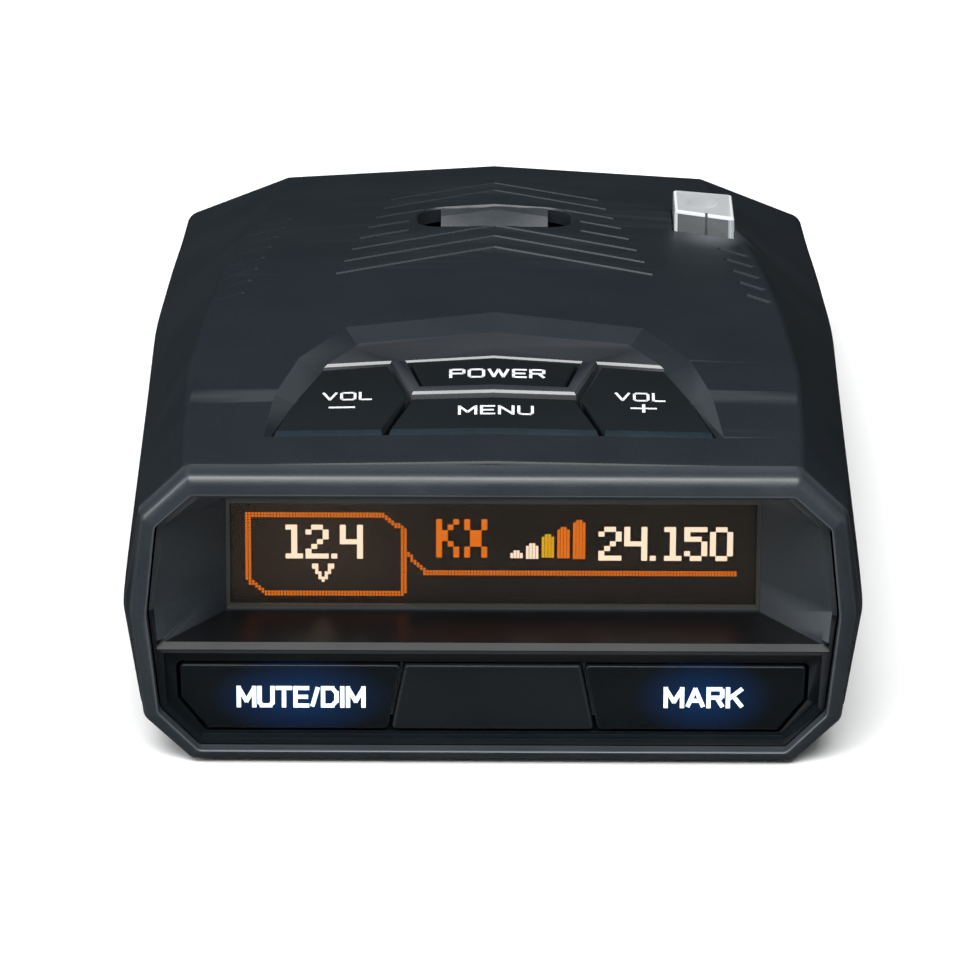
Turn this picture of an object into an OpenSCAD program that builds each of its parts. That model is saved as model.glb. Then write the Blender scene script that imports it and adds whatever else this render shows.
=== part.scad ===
/* [Body] */
// Overall width across the side bulges
body_w = 75.6; // [75:0.2:77]
// Overall height at the crest of the roof
body_h = 34; // [33.8:0.1:34.6]
// Overall length from front rim to rear face
body_l = 108; // [107:1:112]
// Fall of the roof line from the crest to the rear edge
roof_fall = 15; // [14:0.5:16]
// Wall thickness of the two covers
wall = 1.7; // [1.6:0.05:1.8]
// Height of the parting line between the covers
split_z = 12.6; // [12.4:0.1:13]

/* [Front face] */
// Depth of the rim that frames the front
bezel_depth = 3.4; // [3.2:0.1:3.6]
// Setback of the key fascia behind the rim
fascia_set = 2.4; // [2.2:0.1:2.6]
// Height of the shelf below the display
shelf_z = 13.1; // [12.9:0.1:13.3]

/* [Display] */
// Visible width of the display window
window_w = 54.4; // [53:0.2:55]
// Visible height of the display window
window_h = 12; // [11.5:0.1:12.2]
// Setback of the display window behind the rim
window_set = 9.2; // [9:0.1:9.4]

/* [Keys] */
// Gap between a key and its opening
key_gap = 0.3; // [0.2:0.05:0.35]
// Travel of the two front keys
front_travel = 0.5; // [0.3:0.05:0.5]
// Travel of the four top keys
top_travel = 0.6; // [0.3:0.05:0.6]

/* [Bracket slot] */
// Width of the slot that takes the windscreen bracket
slot_w = 16.6; // [16:0.2:17.4]
// Width of the fixed tongue in the slot
tongue_w = 11.8; // [11:0.2:12]

/* [Grip grooves] */
// Number of chevron grooves
groove_n = 8; // [6:1:8]
// Pitch of the chevron grooves
groove_pitch = 4.3; // [4.2:0.05:4.4]
// Width of a chevron groove
groove_w = 0.55; // [0.4:0.05:0.7]

/* [Sockets] */
// Bore of the audio socket
audio_d = 3.6; // [3.5:0.05:3.7]
// Width of the power socket mouth
power_w = 9.6; // [9.4:0.1:9.8]
// Height of the power socket mouth
power_h = 6.4; // [6.2:0.1:6.6]

/* [Hidden] */
kx = body_w / 75.6;
ky = body_l / 108;
half_l = body_l / 2;
e = 0.01;

// depth behind the front rim -> Y
function yy(d) = d - half_l;

// ---- outline of the housing, all as functions of the depth d behind the rim ----
function ridge(d) = body_h - roof_fall * pow(max(0, d / ky - 20) / 90, 2)
    - 0.9 * pow(max(0, 20 - d) / 15, 2);
function pitch(d) = lookup(d / ky, [[0, 0.018], [58, 0.043], [108, 0.075]]);
function roof(x, d) = ridge(d) - pitch(d) * abs(x);
function x_panel(d) = kx * lookup(d / ky, [[0, 31.2], [12, 31.5], [22, 31.5], [36, 30.5],
    [54, 28.6], [66, 27], [78, 25.2], [104, 22.8]]);
function x_shoulder(d) = kx * lookup(d / ky, [[0, 35.9], [10, 36.3], [60, 36.4], [78, 35.7],
    [95, 34.7], [104, 34.1]]);
function z_shoulder(d) = lookup(d / ky, [[0, 28], [104, 14.3]]);
function x_bulge(d) = kx * lookup(d / ky, [[0, 37.6], [6, 37.8], [30, 37.6], [60, 37.1],
    [80, 36.1], [104, 34.4]]);
function z_bulge(d) = lookup(d / ky, [[0, 17], [104, 9.5]]);
function x_lower(d) = kx * lookup(d / ky, [[0, 36], [60, 35.6], [104, 33.2]]);
function x_floor(d) = kx * lookup(d / ky, [[0, 31], [60, 30.6], [104, 28.2]]);

// right half of one cross-section, t inside the outer surface
function half_section(d, t) = [
    [x_panel(d) - 0.5 * t, roof(x_panel(d), d) - t],
    [x_shoulder(d) - 0.95 * t, z_shoulder(d) - 0.45 * t],
    [x_bulge(d) - t, z_bulge(d)],
    [x_lower(d) - 0.95 * t, 5 + 0.45 * t],
    [x_floor(d) - 0.45 * t, t]];
function section(d, t) = let (h = half_section(d, t)) concat(
    [[0, ridge(d) - t]], h, [[0, t]],
    [for (i = [len(h) - 1 : -1 : 0]) [-h[i][0], h[i][1]]]);
// depth of the slanted rear face at height z
function rear_d(z) = body_l - 5 + (20.7 - z) * 0.24;

module housing_solid(t, d0, dt) {
    ds = concat([d0], [for (d = [5, 9, 14, 20, 28, 36, 45, 54, 63, 72, 81, 90, 97]) d * ky]);
    last = section(body_l - 5, t);
    pts = concat(
        [for (d = ds) for (p = section(d, t)) [p[0], yy(d), p[1]]],
        [for (p = last) [p[0], yy(rear_d(p[1]) - dt), p[1]]]);
    n = 12;
    m = len(ds);
    polyhedron(points = pts, faces = concat(
        [for (j = [0 : m - 1]) for (i = [0 : n - 1])
            [j * n + i, (j + 1) * n + (i + 1) % n, j * n + (i + 1) % n]],
        [for (j = [0 : m - 1]) for (i = [0 : n - 1])
            [j * n + i, (j + 1) * n + i, (j + 1) * n + (i + 1) % n]],
        [[for (i = [0 : n - 1]) i]],
        [[for (i = [n - 1 : -1 : 0]) m * n + i]]));
}

// extrude an x-z outline along Y from depth d0 to d1
module along_y(pts, d0, d1) {
    translate([0, yy(d1), 0]) rotate([90, 0, 0]) linear_extrude(d1 - d0) polygon(pts);
}
// extrude a depth-z outline along X from x0 to x1
module along_x(pts, x0, x1) {
    translate([x0, 0, 0]) rotate([90, 0, 90]) linear_extrude(x1 - x0)
        polygon([for (p = pts) [yy(p[0]), p[1]]]);
}
// extrude an x-depth outline upwards from z0 to z1
module along_z(pts, z0, z1) {
    translate([0, 0, z0]) linear_extrude(z1 - z0) polygon([for (p = pts) [p[0], yy(p[1])]]);
}
module block(x0, x1, d0, d1, z0, z1) {
    translate([x0, yy(d0), z0]) cube([x1 - x0, d1 - d0, z1 - z0]);
}
module post(x, d, z0, z1, r) {
    translate([x, yy(d), z0]) cylinder(r = r, h = z1 - z0, $fn = 32);
}
function both(h) = concat(h, [for (i = [len(h) - 1 : -1 : 0]) [-h[i][0], h[i][1]]]);

// outlines of the rim and of the hood that sits inside it, right halves
rim_out = both([[31 * kx, 32.7], [35.8 * kx, 27.9], [37.1 * kx, 17], [35.7 * kx, 5], [30.8 * kx, 0.15]]);
rim_in = both([[30.5 * kx, 30.6], [34.25 * kx, 27], [35.25 * kx, 17], [34.1 * kx, 5.9], [30.05 * kx, 1.65]]);
hood_out = both([[30.35 * kx, 30.4], [34.05 * kx, 26.9], [35.05 * kx, 17], [33.9 * kx, 6], [29.95 * kx, 1.8]]);
window_z = shelf_z + 0.3;

// ---- top keys ----
pad_half = [[14.2, 32], [17.9, 24.9], [20.5, 17.9], [23, 9.1]];
pad = concat([[0, 35.1]], both(pad_half));
wall_half = [[15.5, 35.1], [20.2, 27], [22.4, 18], [23.4, 9.1]];
volume_pts = [[17.7, 24.1], [10.95, 24.9], [8.8, 17.4], [11.3, 9.1 + key_gap], [22.55, 9.1 + key_gap], [20.2, 17.6]];
menu_pts = [[8.4, 17.3], [0, 17.5], [-8.4, 17.3], [-10.85, 9.1 + key_gap], [10.85, 9.1 + key_gap]];
power_pts = [[8.6, 25.3], [0, 26.4], [-8.6, 25.3], [-7.25, 19.7], [0, 20], [7.25, 19.7]];
key_z0 = 30.3;

// solid below a pitched plane: ridge height z at depth d, rising by slope degrees
module under_roof(z, d, slope) {
    translate([0, yy(d), z]) rotate([slope, 0, 0]) translate([0, 40, 0]) rotate([90, 0, 0])
        linear_extrude(60) polygon([[0, 0], [-28, -0.56], [-28, -8], [28, -8], [28, -0.56]]);
}
module top_key(pts) {
    intersection() {
        along_z(pts, key_z0, 36);
        under_roof(33.42, 9.3, 1.35);
    }
}

// ---- front keys ----
fkey = [[9.35, 10.4], [32, 10.4], [31.9, 6.6], [29.2, 3], [10.75, 3]];
fkey_flange = [[9.35, 11], [32.6, 11], [32.5, 6.5], [29.5, 2.4], [10.75, 2.4]];
fascia_open = both([[32.35, 10.4 + key_gap], [32.25, 6.5], [29.4, 3 - key_gap]]);
module front_key() {
    along_y(fkey, fascia_set - 0.15, 4.35);
    along_y(fkey_flange, 4.3, 5);
}

// ---- screw positions: x, depth, height of the upper boss ----
case_pts = [[-30, 17, 31.2], [30, 17, 31.2], [-27.5, 93, 17.2], [27.5, 93, 17.2]];
board_pts = [[-25, 30], [25, 30], [-23, 86]];

module chevron_groove(d, x0, x1, depth) {
    // one bent strip right across, or an arm from x0 to x1 on each side, following the roof
    s = 0.46 + 0.0047 * (d - 59.6);
    for (xs = x0 == 0 ? [[-x1, -x1 / 2, 0, x1 / 2, x1]]
        : [[x0, (x0 + x1) / 2, x1], [-x1, -(x0 + x1) / 2, -x0]]) {
        last = 4 * (len(xs) - 1);
        pts = [for (x = xs) for (c = [[-0.5, -1], [0.5, -1], [0.5, 1], [-0.5, 1]])
            let (dd = d - s * abs(x)) [x, yy(dd + c[0] * groove_w), roof(x, dd) + (c[1] < 0 ? -depth : 1.5)]];
        polyhedron(points = pts, faces = concat([[3, 2, 1, 0], [last, last + 1, last + 2, last + 3]],
            [for (k = [0 : 4 : last - 4]) for (i = [0 : 3]) [k + i, k + (i + 1) % 4, k + 4 + (i + 1) % 4]],
            [for (k = [0 : 4 : last - 4]) for (i = [0 : 3]) [k + i, k + 4 + (i + 1) % 4, k + 4 + i]]));
    }
}
module groove_set() {
    for (i = [0 : groove_n - 1]) {
        d = 89.7 - i * groove_pitch;
        x1 = 11.3 + 0.78 * i;
        x0 = i < 2 ? 0 : i < 5 ? slot_w / 2 + 1.1 : 0;
        chevron_groove(d, x0, x1, 0.55);
    }
}
// vent slot number i counted from the front, on the left (-1) or right (1)
module side_slot(side, i) {
    len = 3.2 + 0.19 * i;
    translate([side * (27.8 - 0.55 * i), yy(45.3 + 4.05 * i), 20]) rotate([0, 0, -43 * side])
        translate([-len / 2, -0.45, 0]) cube([len, 0.9, 20]);
}
module slot_outline(g, z0, z1) {
    // rounded slot for the bracket
    r = 3;
    for (m = [-1, 1]) for (d = [68.7 + r, 77.6 - r]) post(m * (slot_w / 2 - r + g), d, z0, z1, r);
    block(-slot_w / 2 - g, slot_w / 2 + g, 68.7 + r, 77.6 - r, z0, z1);
    block(-slot_w / 2 + r - g, slot_w / 2 - r + g, 68.7, 77.6, z0, z1);
}

module top_cover() {
    color([0.16, 0.18, 0.2]) difference() {
        union() {
            difference() {
                housing_solid(0, bezel_depth, 0);
                housing_solid(wall, bezel_depth - 1, wall);
                // pad opening with the sloped wall behind it
                along_z(pad, 24, 40);
                hull() {
                    along_z(concat([[0, 38.3]], both(wall_half)), 34.05, 34.06);
                    along_z(pad, 32.4, 32.41);
                }
                slot_outline(0, 20, 40);
            }
            // fixed tongue that the bracket hooks behind
            along_x([[73, 22.6], [78.6, 22.6], [78.6, 27.1], [76, 28.05], [74, 28.4], [73, 27.9]],
                -tongue_w / 2, tongue_w / 2);
            // screw bosses and key board posts
            for (p = case_pts) post(p[0], p[1], split_z + 0.1, p[2], 2.6);
            for (m = [-1, 1]) {
                post(m * 12, 38.2, 28.7, 32.2, 1.5);
                post(m * 24.8, 15, 28.7, 32, 1.3);
            }
        }
        translate([-60, -100, -1]) cube([120, 200, split_z + 1.1]);
        for (p = case_pts) post(p[0], p[1], 5, min(22, p[2] - 1.5), 1.15);
        groove_set();
        for (i = [0 : 7]) side_slot(-1, i);
        for (i = [0 : 4]) side_slot(1, i);
        along_z([[19.2, 69.6], [26, 67.2], [26, 79.4], [19.2, 80.4]], 20, 40);
    }
}
module bottom_cover() {
    color([0.13, 0.14, 0.16]) difference() {
        union() {
            difference() {
                housing_solid(0, bezel_depth, 0);
                housing_solid(wall, bezel_depth - 1, wall);
            }
            for (p = case_pts) post(p[0], p[1], 1, split_z, 2.8);
            for (p = board_pts) post(p[0], p[1], 1, 2.9, 2.2);
        }
        translate([-60, -100, split_z]) cube([120, 200, 40]);
        for (p = case_pts) {
            post(p[0], p[1], -1, 3, 2.3);
            post(p[0], p[1], 2, 14, 1.35);
        }
        for (p = board_pts) post(p[0], p[1], 1.2, 4, 0.95);
        // socket openings in the left wall
        block(-40, -32, 52.2, 63, 4.45, 11.9);
        translate([-40, yy(44), 8]) rotate([0, 90, 0]) cylinder(r = 3.3, h = 8, $fn = 32);
        block(-40, -32, 31.5, 40.1, 4.45, 8.7);
        // window for the rear-facing laser sensor
        block(19, 31, 98, 112, 3.6, 10.6);
        // label recess
        block(-18, 18, 36, 66, -1, 0.3);
    }
}
module front_bezel() {
    color([0.2, 0.22, 0.24]) difference() {
        union() {
            along_y(rim_out, 0.5, bezel_depth - 0.05);
            along_y([for (p = rim_out) [p[0] * 0.991, 16.4 + (p[1] - 16.4) * 0.98]], 0, 0.6);
        }
        along_y(rim_in, -1, 5);
    }
}
module display_hood() {
    color([0.12, 0.13, 0.14]) difference() {
        intersection() {
            along_y(hood_out, 1.2, 11.4);
            along_x([[0, 0], [12, 0], [12, 27.2], [9.4, 27.2], [4, 31], [0, 31]], -40, 40);
        }
        // splayed recess in front of the display
        hull() {
            along_y(both([[29.95 * kx, 29.9], [33.4 * kx, 26.6], [34.5 * kx, 17], [34.1 * kx, shelf_z]]), 1, 1.1);
            along_y(both([[window_w / 2 + 0.2, 26.1], [window_w / 2 + 0.2, shelf_z]]), window_set - 0.01, window_set);
        }
        block(-window_w / 2 - 0.1, window_w / 2 + 0.1, 8, 13, window_z - 0.1, window_z + window_h + 0.1);
        // seat of the frame, window and panel from behind
        block(-window_w / 2 - 0.9, window_w / 2 + 0.9, window_set + 0.3, 13, window_z - 0.8, window_z + window_h + 0.8);
        // setback of the fascia and its key opening
        along_y(both([[33.6 * kx, shelf_z - 0.9], [33.3 * kx, 6.2], [29.7 * kx, 2.4]]), 1, fascia_set);
        along_y(fascia_open, 1, 12);
        along_y(both([[32.9, 11.3], [32.8, 6.4], [29.6, 2.25]]), 4, 12);
    }
}
module display_frame() {
    color([0.35, 0.35, 0.34]) difference() {
        block(-window_w / 2 - 0.8, window_w / 2 + 0.8, window_set + 0.32, window_set + 0.7, window_z - 0.7, window_z + window_h + 0.7);
        block(-window_w / 2 + 0.2, window_w / 2 - 0.2, 8, 12, window_z + 0.2, window_z + window_h - 0.2);
    }
}
module display_window() {
    color([0.3, 0.26, 0.22, 0.6])
        block(-window_w / 2 - 0.7, window_w / 2 + 0.7, window_set + 0.75, window_set + 1.35, window_z - 0.6, window_z + window_h + 0.6);
}
module display_gasket() {
    color([0.05, 0.05, 0.05]) difference() {
        block(-window_w / 2 - 0.7, window_w / 2 + 0.7, window_set + 1.4, window_set + 1.8, window_z - 0.6, window_z + window_h + 0.6);
        block(-window_w / 2 + 0.4, window_w / 2 - 0.4, 8, 14, window_z + 0.4, window_z + window_h - 0.4);
    }
}
module oled_panel() {
    color([0.08, 0.07, 0.07])
        block(-window_w / 2 - 0.7, window_w / 2 + 0.7, window_set + 1.85, window_set + 3.1, window_z - 0.6, window_z + window_h + 0.6);
}
module display_flex() {
    color([0.75, 0.45, 0.12])
        along_x([[12.35, 22], [12.35, 5.2], [13, 4.55], [18, 4.55], [18, 4.75], [13.1, 4.75], [12.6, 5.3], [12.6, 22]], -8, 8);
}
module centre_panel() {
    color([0.1, 0.11, 0.12]) {
        along_y([[8.95, 10.4], [-8.95, 10.4], [-10.35, 3], [10.35, 3]], fascia_set - 0.15, 4.1);
        along_y([[8.7, 11], [-8.7, 11], [-10.1, 2.4], [10.1, 2.4]], 4.05, 4.8);
    }
}
module light_sensor() {
    color([0.3, 0.3, 0.32]) block(-1.3, 1.3, 5, 7.3, 6.2, 7.8);
}
module mute_button() { color([0.03, 0.04, 0.06]) mirror([1, 0, 0]) front_key(); }
module mark_button() { color([0.03, 0.04, 0.06]) front_key(); }
module front_keypad() {
    color([0.55, 0.56, 0.58]) {
        difference() {
            along_y(both([[31.6, 10.8], [31.4, 6.6], [28.8, 3]]), 5.6, 6.4);
            block(-1.8, 1.8, 5, 7, 5.7, 8.3);
        }
        for (m = [-1, 1]) translate([m * 20.5, yy(7.3), 6.8]) rotate([90, 0, 0])
            cylinder(r = 2.4, h = 0.95, $fn = 32);
    }
}
module front_key_board() {
    color([0.05, 0.28, 0.14]) difference() {
        along_y(both([[31.6, 10.8], [31.4, 6.6], [28.8, 3]]), 7.35, 8.35);
        for (m = [-1, 1]) translate([m * 29, yy(9), 9]) rotate([90, 0, 0]) cylinder(r = 0.8, h = 3, $fn = 24);
    }
}
module front_leds() {
    color([0.95, 0.95, 0.9]) for (x = [-26, -15, 15, 26]) block(x - 0.8, x + 0.8, 6.5, 7.3, 6.4, 7.2);
}
module top_key_frame() {
    color([0.3, 0.3, 0.32]) difference() {
        intersection() {
            along_z([[0, 34.9], [14.05, 31.8], [17.6, 24.75], [10.75, 25.45], [8.45, 17.8], [0, 18],
                [-8.45, 17.8], [-10.75, 25.45], [-17.6, 24.75], [-14.05, 31.8]], 31.25, 36);
            under_roof(33.62, 18, -3.4);
        }
        along_z([[8.95, 25.6], [0, 26.75], [-8.95, 25.6], [-7.5, 19.4], [0, 19.7], [7.5, 19.4]], 28, 36);
    }
    color([0.3, 0.3, 0.32]) for (m = [-1, 1]) post(m * 11.5, 30, 28.7, 31.5, 1);
}
module power_button() {
    color([0.04, 0.05, 0.06]) {
        top_key(power_pts);
        along_z([[9.2, 25.8], [0, 26.9], [-9.2, 25.8], [-7.7, 19.2], [0, 19.5], [7.7, 19.2]], key_z0, 31.1);
    }
}
module menu_button() {
    color([0.04, 0.05, 0.06]) {
        top_key(menu_pts);
        block(-9, 9, 8.6, 10, key_z0, 31.1);
    }
}
module volume_key() {
    top_key(volume_pts);
    along_z([[18.3, 24.1], [23.4, 9.4], [22, 9.4], [17, 24.1]], key_z0, 31);
}
module volume_up_button() { color([0.04, 0.05, 0.06]) volume_key(); }
module volume_down_button() { color([0.04, 0.05, 0.06]) mirror([1, 0, 0]) volume_key(); }
module top_keypad() {
    color([0.55, 0.56, 0.58]) {
        along_z(both([[17, 28], [21.5, 17], [22.6, 10.2]]), 29.02, 29.6);
        for (p = [[0, 22.6], [0, 13.2], [-15.5, 16.5], [15.5, 16.5]]) post(p[0], p[1], 28.7, 29.3, 2.4);
    }
}
module top_key_board() {
    color([0.05, 0.28, 0.14]) difference() {
        along_z(both([[14, 40], [18, 28], [26.4, 17], [26.4, 13], [22.8, 10.2]]), 27.65, 28.65);
        post(0, 36, 27, 30, 1.1);
    }
}
module board_link() {
    color([0.75, 0.45, 0.12])
        along_x([[36, 27.6], [41, 27.6], [41.6, 27], [41.6, 4.45], [41.35, 4.45], [41.35, 26.9], [40.9, 27.4], [36, 27.4]], 8.5, 13.5);
}
module main_board() {
    color([0.05, 0.28, 0.14]) difference() {
        along_z(both([[30.2, 14], [30.2, 60], [28, 97]]), 3, 4.4);
        for (p = case_pts) {
            post(p[0], p[1], 2, 6, 3.2);
            block(p[0] < 0 ? -32 : p[0], p[0] < 0 ? p[0] : 32, p[1] - 3.2, p[1] + 3.2, 2, 6);
        }
        block(15, 32, 93, 100, 2, 6);
        block(-32, -15, 93, 100, 2, 6);
        for (p = board_pts) post(p[0], p[1], 2, 6, 1.15);
    }
}
module horn_antenna() {
    color([0.66, 0.67, 0.69]) difference() {
        union() {
            hull() {
                block(-17.5, 17.5, 101.4, 102, 5, 16.4);
                block(-7, 7, 78, 79, 5, 13);
            }
            block(-9, 9, 62, 79, 5, 13);
            block(-19, 19, 100.4, 102, 4.8, 16.6);
        }
        hull() {
            block(-16.3, 16.3, 102, 102.6, 6.2, 15.3);
            block(-5.6, 5.6, 77.9, 78, 6.2, 11.8);
        }
        block(-5.6, 5.6, 66, 78, 6.2, 11.8);
    }
}
module oscillator_board() {
    color([0.05, 0.2, 0.3]) difference() {
        block(-12, 12, 60, 77.4, 13.1, 14);
        for (m = [-1, 1]) post(m * 10.4, 62, 12, 15, 0.9);
    }
}
module rf_shield() {
    color([0.78, 0.79, 0.8]) difference() {
        block(-18, 19, 43, 60, 4.45, 9.4);
        block(-17.6, 18.6, 43.4, 59.6, 4, 9);
        for (i = [0 : 4]) for (j = [0 : 2]) post(-14 + 3 * i, 47 + 4.5 * j, 8, 11, 0.8);
    }
}
module gps_antenna() {
    color([0.8, 0.72, 0.55]) {
        block(1, 17, 43.5, 59.5, 9.45, 13.2);
        block(2.5, 15.5, 45, 58, 13.2, 13.35);
    }
}
module speaker() {
    color([0.15, 0.15, 0.16]) translate([-19, yy(52), 0]) {
        difference() {
            translate([0, 0, 15.5]) cylinder(r = 12, h = 4.2, $fn = 64);
            translate([0, 0, 17]) cylinder(r = 10.6, h = 4, $fn = 64);
        }
        translate([0, 0, 16.9]) cylinder(r1 = 3, r2 = 10.2, h = 1.4, $fn = 48);
        translate([0, 0, 12]) cylinder(r = 7, h = 3.6, $fn = 48);
    }
}
module speaker_wires() {
    color([0.7, 0.1, 0.08]) for (m = [0, 1])
        translate([-20.9 + 1.5 * m, yy(50), 4.45]) cylinder(r = 0.45, h = 7.5, $fn = 16);
}
module power_jack() {
    color([0.1, 0.1, 0.11]) difference() {
        block(-35.4, -22.5, 52.6, 62.8, 4.5, 11.8);
        block(-40, -25.5, 57.7 - power_w / 2, 57.7 + power_w / 2, 4.95, 4.95 + power_h);
    }
}
module audio_jack() {
    color([0.12, 0.12, 0.13]) difference() {
        union() {
            block(-32.5, -20, 40.8, 47.2, 4.5, 11.2);
            translate([-35.6, yy(44), 8]) rotate([0, 90, 0]) cylinder(r = 3, h = 3.4, $fn = 48);
        }
        translate([-36, yy(44), 8]) rotate([0, 90, 0]) cylinder(r = audio_d / 2, h = 13, $fn = 48);
    }
}
module usb_port() {
    color([0.75, 0.76, 0.78]) difference() {
        block(-35.2, -27, 31.9, 39.7, 4.5, 8.4);
        block(-36, -28, 32.4, 39.2, 5, 7.9);
    }
    color([0.1, 0.1, 0.1]) block(-34, -27.5, 33.6, 38, 6.1, 6.9);
}
module laser_lens() {
    // clear block that stands above the falling roof
    h = 2.4;
    c = [[19.4, 69.8], [25.8, 67.5], [25.8, 79.2], [19.4, 80.2]];
    color([0.85, 0.9, 0.95, 0.5]) polyhedron(
        points = concat([for (p = c) [p[0], yy(p[1]), roof(p[0], p[1]) - 4.2]],
            [for (p = c) [p[0], yy(p[1]), roof(p[0], p[1]) + h]]),
        faces = [[0, 1, 2], [0, 2, 3], [4, 6, 5], [4, 7, 6], [0, 5, 1], [0, 4, 5], [1, 6, 2],
            [1, 5, 6], [2, 7, 3], [2, 6, 7], [3, 4, 0], [3, 7, 4]]);
}
module laser_sensor() {
    color([0.1, 0.1, 0.12]) {
        block(20, 26, 70.5, 78, 18.6, 19.4);
        translate([23, yy(74.2), 19.4]) cylinder(r = 2.2, h = 1.8, $fn = 32);
        block(20.6, 21.4, 72, 77, 4.45, 18.6);
    }
}
module road_window() {
    color([0.2, 0.02, 0.04]) along_x([[105.8, 3.8], [107, 3.8], [105.4, 10.4], [104.2, 10.4]], 19.2, 30.8);
}
module road_laser_sensor() {
    color([0.1, 0.1, 0.12]) {
        block(20.5, 29.5, 98.6, 99.6, 3.4, 10.5);
        translate([25, yy(101.4), 7]) rotate([90, 0, 0]) cylinder(r = 2.6, h = 1.8, $fn = 32);
    }
}
module case_screws() {
    color([0.45, 0.46, 0.48]) for (p = case_pts) difference() {
        union() {
            post(p[0], p[1], 1.2, 3, 2.1);
            post(p[0], p[1], 2.9, min(20.5, p[2] - 2.5), 1.1);
        }
        post(p[0], p[1], 0.5, 2.2, 0.9);
    }
}
module board_screws() {
    color([0.6, 0.61, 0.63]) for (p = board_pts) {
        post(p[0], p[1], 4.45, 5.4, 1.7);
        post(p[0], p[1], 1.4, 4.5, 0.85);
    }
}
module mount_pocket() {
    color([0.1, 0.1, 0.11]) difference() {
        block(-slot_w / 2 - 1.7, slot_w / 2 + 1.7, 67, 80.4, 20.4, 24.5);
        block(-slot_w / 2 - 0.7, slot_w / 2 + 0.7, 68, 79.4, 21.4, 26);
    }
}
module bracket_clip() {
    color([0.8, 0.8, 0.82]) along_x([[68.3, 21.45], [72, 21.45], [72.2, 21.7], [70.4, 23.6], [70.2, 23.5], [71.6, 21.8], [68.3, 21.75]], -3, 3);
}
module rating_label() {
    color([0.7, 0.7, 0.68]) block(-17.5, 17.5, 36.5, 65.5, 0.05, 0.28);
}

top_cover();
bottom_cover();
front_bezel();
display_hood();
display_frame();
display_window();
display_gasket();
oled_panel();
display_flex();
centre_panel();
light_sensor();
mute_button();
mark_button();
front_keypad();
front_key_board();
front_leds();
top_key_frame();
power_button();
menu_button();
volume_down_button();
volume_up_button();
top_keypad();
top_key_board();
board_link();
main_board();
horn_antenna();
oscillator_board();
rf_shield();
gps_antenna();
speaker();
speaker_wires();
power_jack();
audio_jack();
usb_port();
laser_lens();
laser_sensor();
road_window();
road_laser_sensor();
case_screws();
board_screws();
mount_pocket();
bracket_clip();
rating_label();
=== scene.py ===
import math
import bmesh
import bpy
from mathutils import Matrix, Vector


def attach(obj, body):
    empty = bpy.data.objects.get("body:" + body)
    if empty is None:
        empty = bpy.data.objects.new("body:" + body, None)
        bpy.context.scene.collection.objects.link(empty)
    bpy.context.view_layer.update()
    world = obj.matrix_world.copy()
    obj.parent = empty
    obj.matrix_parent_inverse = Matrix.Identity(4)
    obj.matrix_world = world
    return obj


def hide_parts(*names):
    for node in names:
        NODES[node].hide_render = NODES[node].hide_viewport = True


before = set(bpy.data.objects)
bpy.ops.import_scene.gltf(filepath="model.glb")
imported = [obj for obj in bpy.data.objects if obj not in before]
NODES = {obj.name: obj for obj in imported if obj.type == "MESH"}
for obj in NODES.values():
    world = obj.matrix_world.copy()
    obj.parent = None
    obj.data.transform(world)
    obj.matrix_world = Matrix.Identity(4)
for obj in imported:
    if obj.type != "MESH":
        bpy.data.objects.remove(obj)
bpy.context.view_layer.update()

# Every length below is in millimetres: x across, d the depth behind the front rim, z up.
HALF = 54.0


def P(x, d, z):
    return Vector((x / 1000.0, (d - HALF) / 1000.0, z / 1000.0))


# ------------------------------------------------------------------ camera
def make_camera():
    el, dist, f, roll = math.radians(27.0), 950.0, 9340.0, math.radians(0.22)
    t = Vector((0, -54, 16))
    c = t + dist * Vector((0, -math.cos(el), math.sin(el)))
    fw = (t - c).normalized()
    right = Vector((1, 0, 0))
    up = right.cross(fw)
    a, b = math.atan((626.5 - 490) / f), math.atan((493.4 - 490) / f)
    fw2 = fw * math.cos(a) + up * math.sin(a)
    up2 = right.cross(fw2)
    fw3 = fw2 * math.cos(b) - right * math.sin(b)
    r3 = fw3.cross(up2)
    R = r3 * math.cos(roll) + up2 * math.sin(roll)
    U = -r3 * math.sin(roll) + up2 * math.cos(roll)
    m = Matrix(((R[0], U[0], -fw3[0], c[0] / 1000), (R[1], U[1], -fw3[1], c[1] / 1000),
                (R[2], U[2], -fw3[2], c[2] / 1000), (0, 0, 0, 1)))
    cd = bpy.data.cameras.new("cam")
    cd.lens, cd.sensor_width = f / 980 * 36.0, 36.0
    cd.clip_start, cd.clip_end = 0.05, 20
    cam = bpy.data.objects.new("cam", cd)
    bpy.context.collection.objects.link(cam)
    cam.matrix_world = m
    bpy.context.scene.camera = cam


make_camera()


# ------------------------------------------------------------------ small geometry kit
def curve(table):
    """Monotone cubic through the table, so that outlines have no kinks."""
    xs, ys = [p[0] for p in table], [p[1] for p in table]
    n = len(xs)
    s = [(ys[i + 1] - ys[i]) / (xs[i + 1] - xs[i]) for i in range(n - 1)]
    m = [s[0]] + [0.0 if s[i - 1] * s[i] <= 0 else 2 * s[i - 1] * s[i] / (s[i - 1] + s[i]) for i in range(1, n - 1)] + [s[-1]]

    def f(x):
        if x <= xs[0]:
            return ys[0]
        if x >= xs[-1]:
            return ys[-1]
        i = max(k for k in range(n - 1) if xs[k] <= x)
        h = xs[i + 1] - xs[i]
        t = (x - xs[i]) / h
        return ((1 + 2 * t) * (1 - t) ** 2 * ys[i] + t * (1 - t) ** 2 * h * m[i]
                + t * t * (3 - 2 * t) * ys[i + 1] + t * t * (t - 1) * h * m[i + 1])
    return f


def ridge(d):
    return 34 - 15 * (max(0, d - 20) / 90) ** 2 - 0.9 * (max(0, 20 - d) / 15) ** 2


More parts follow.
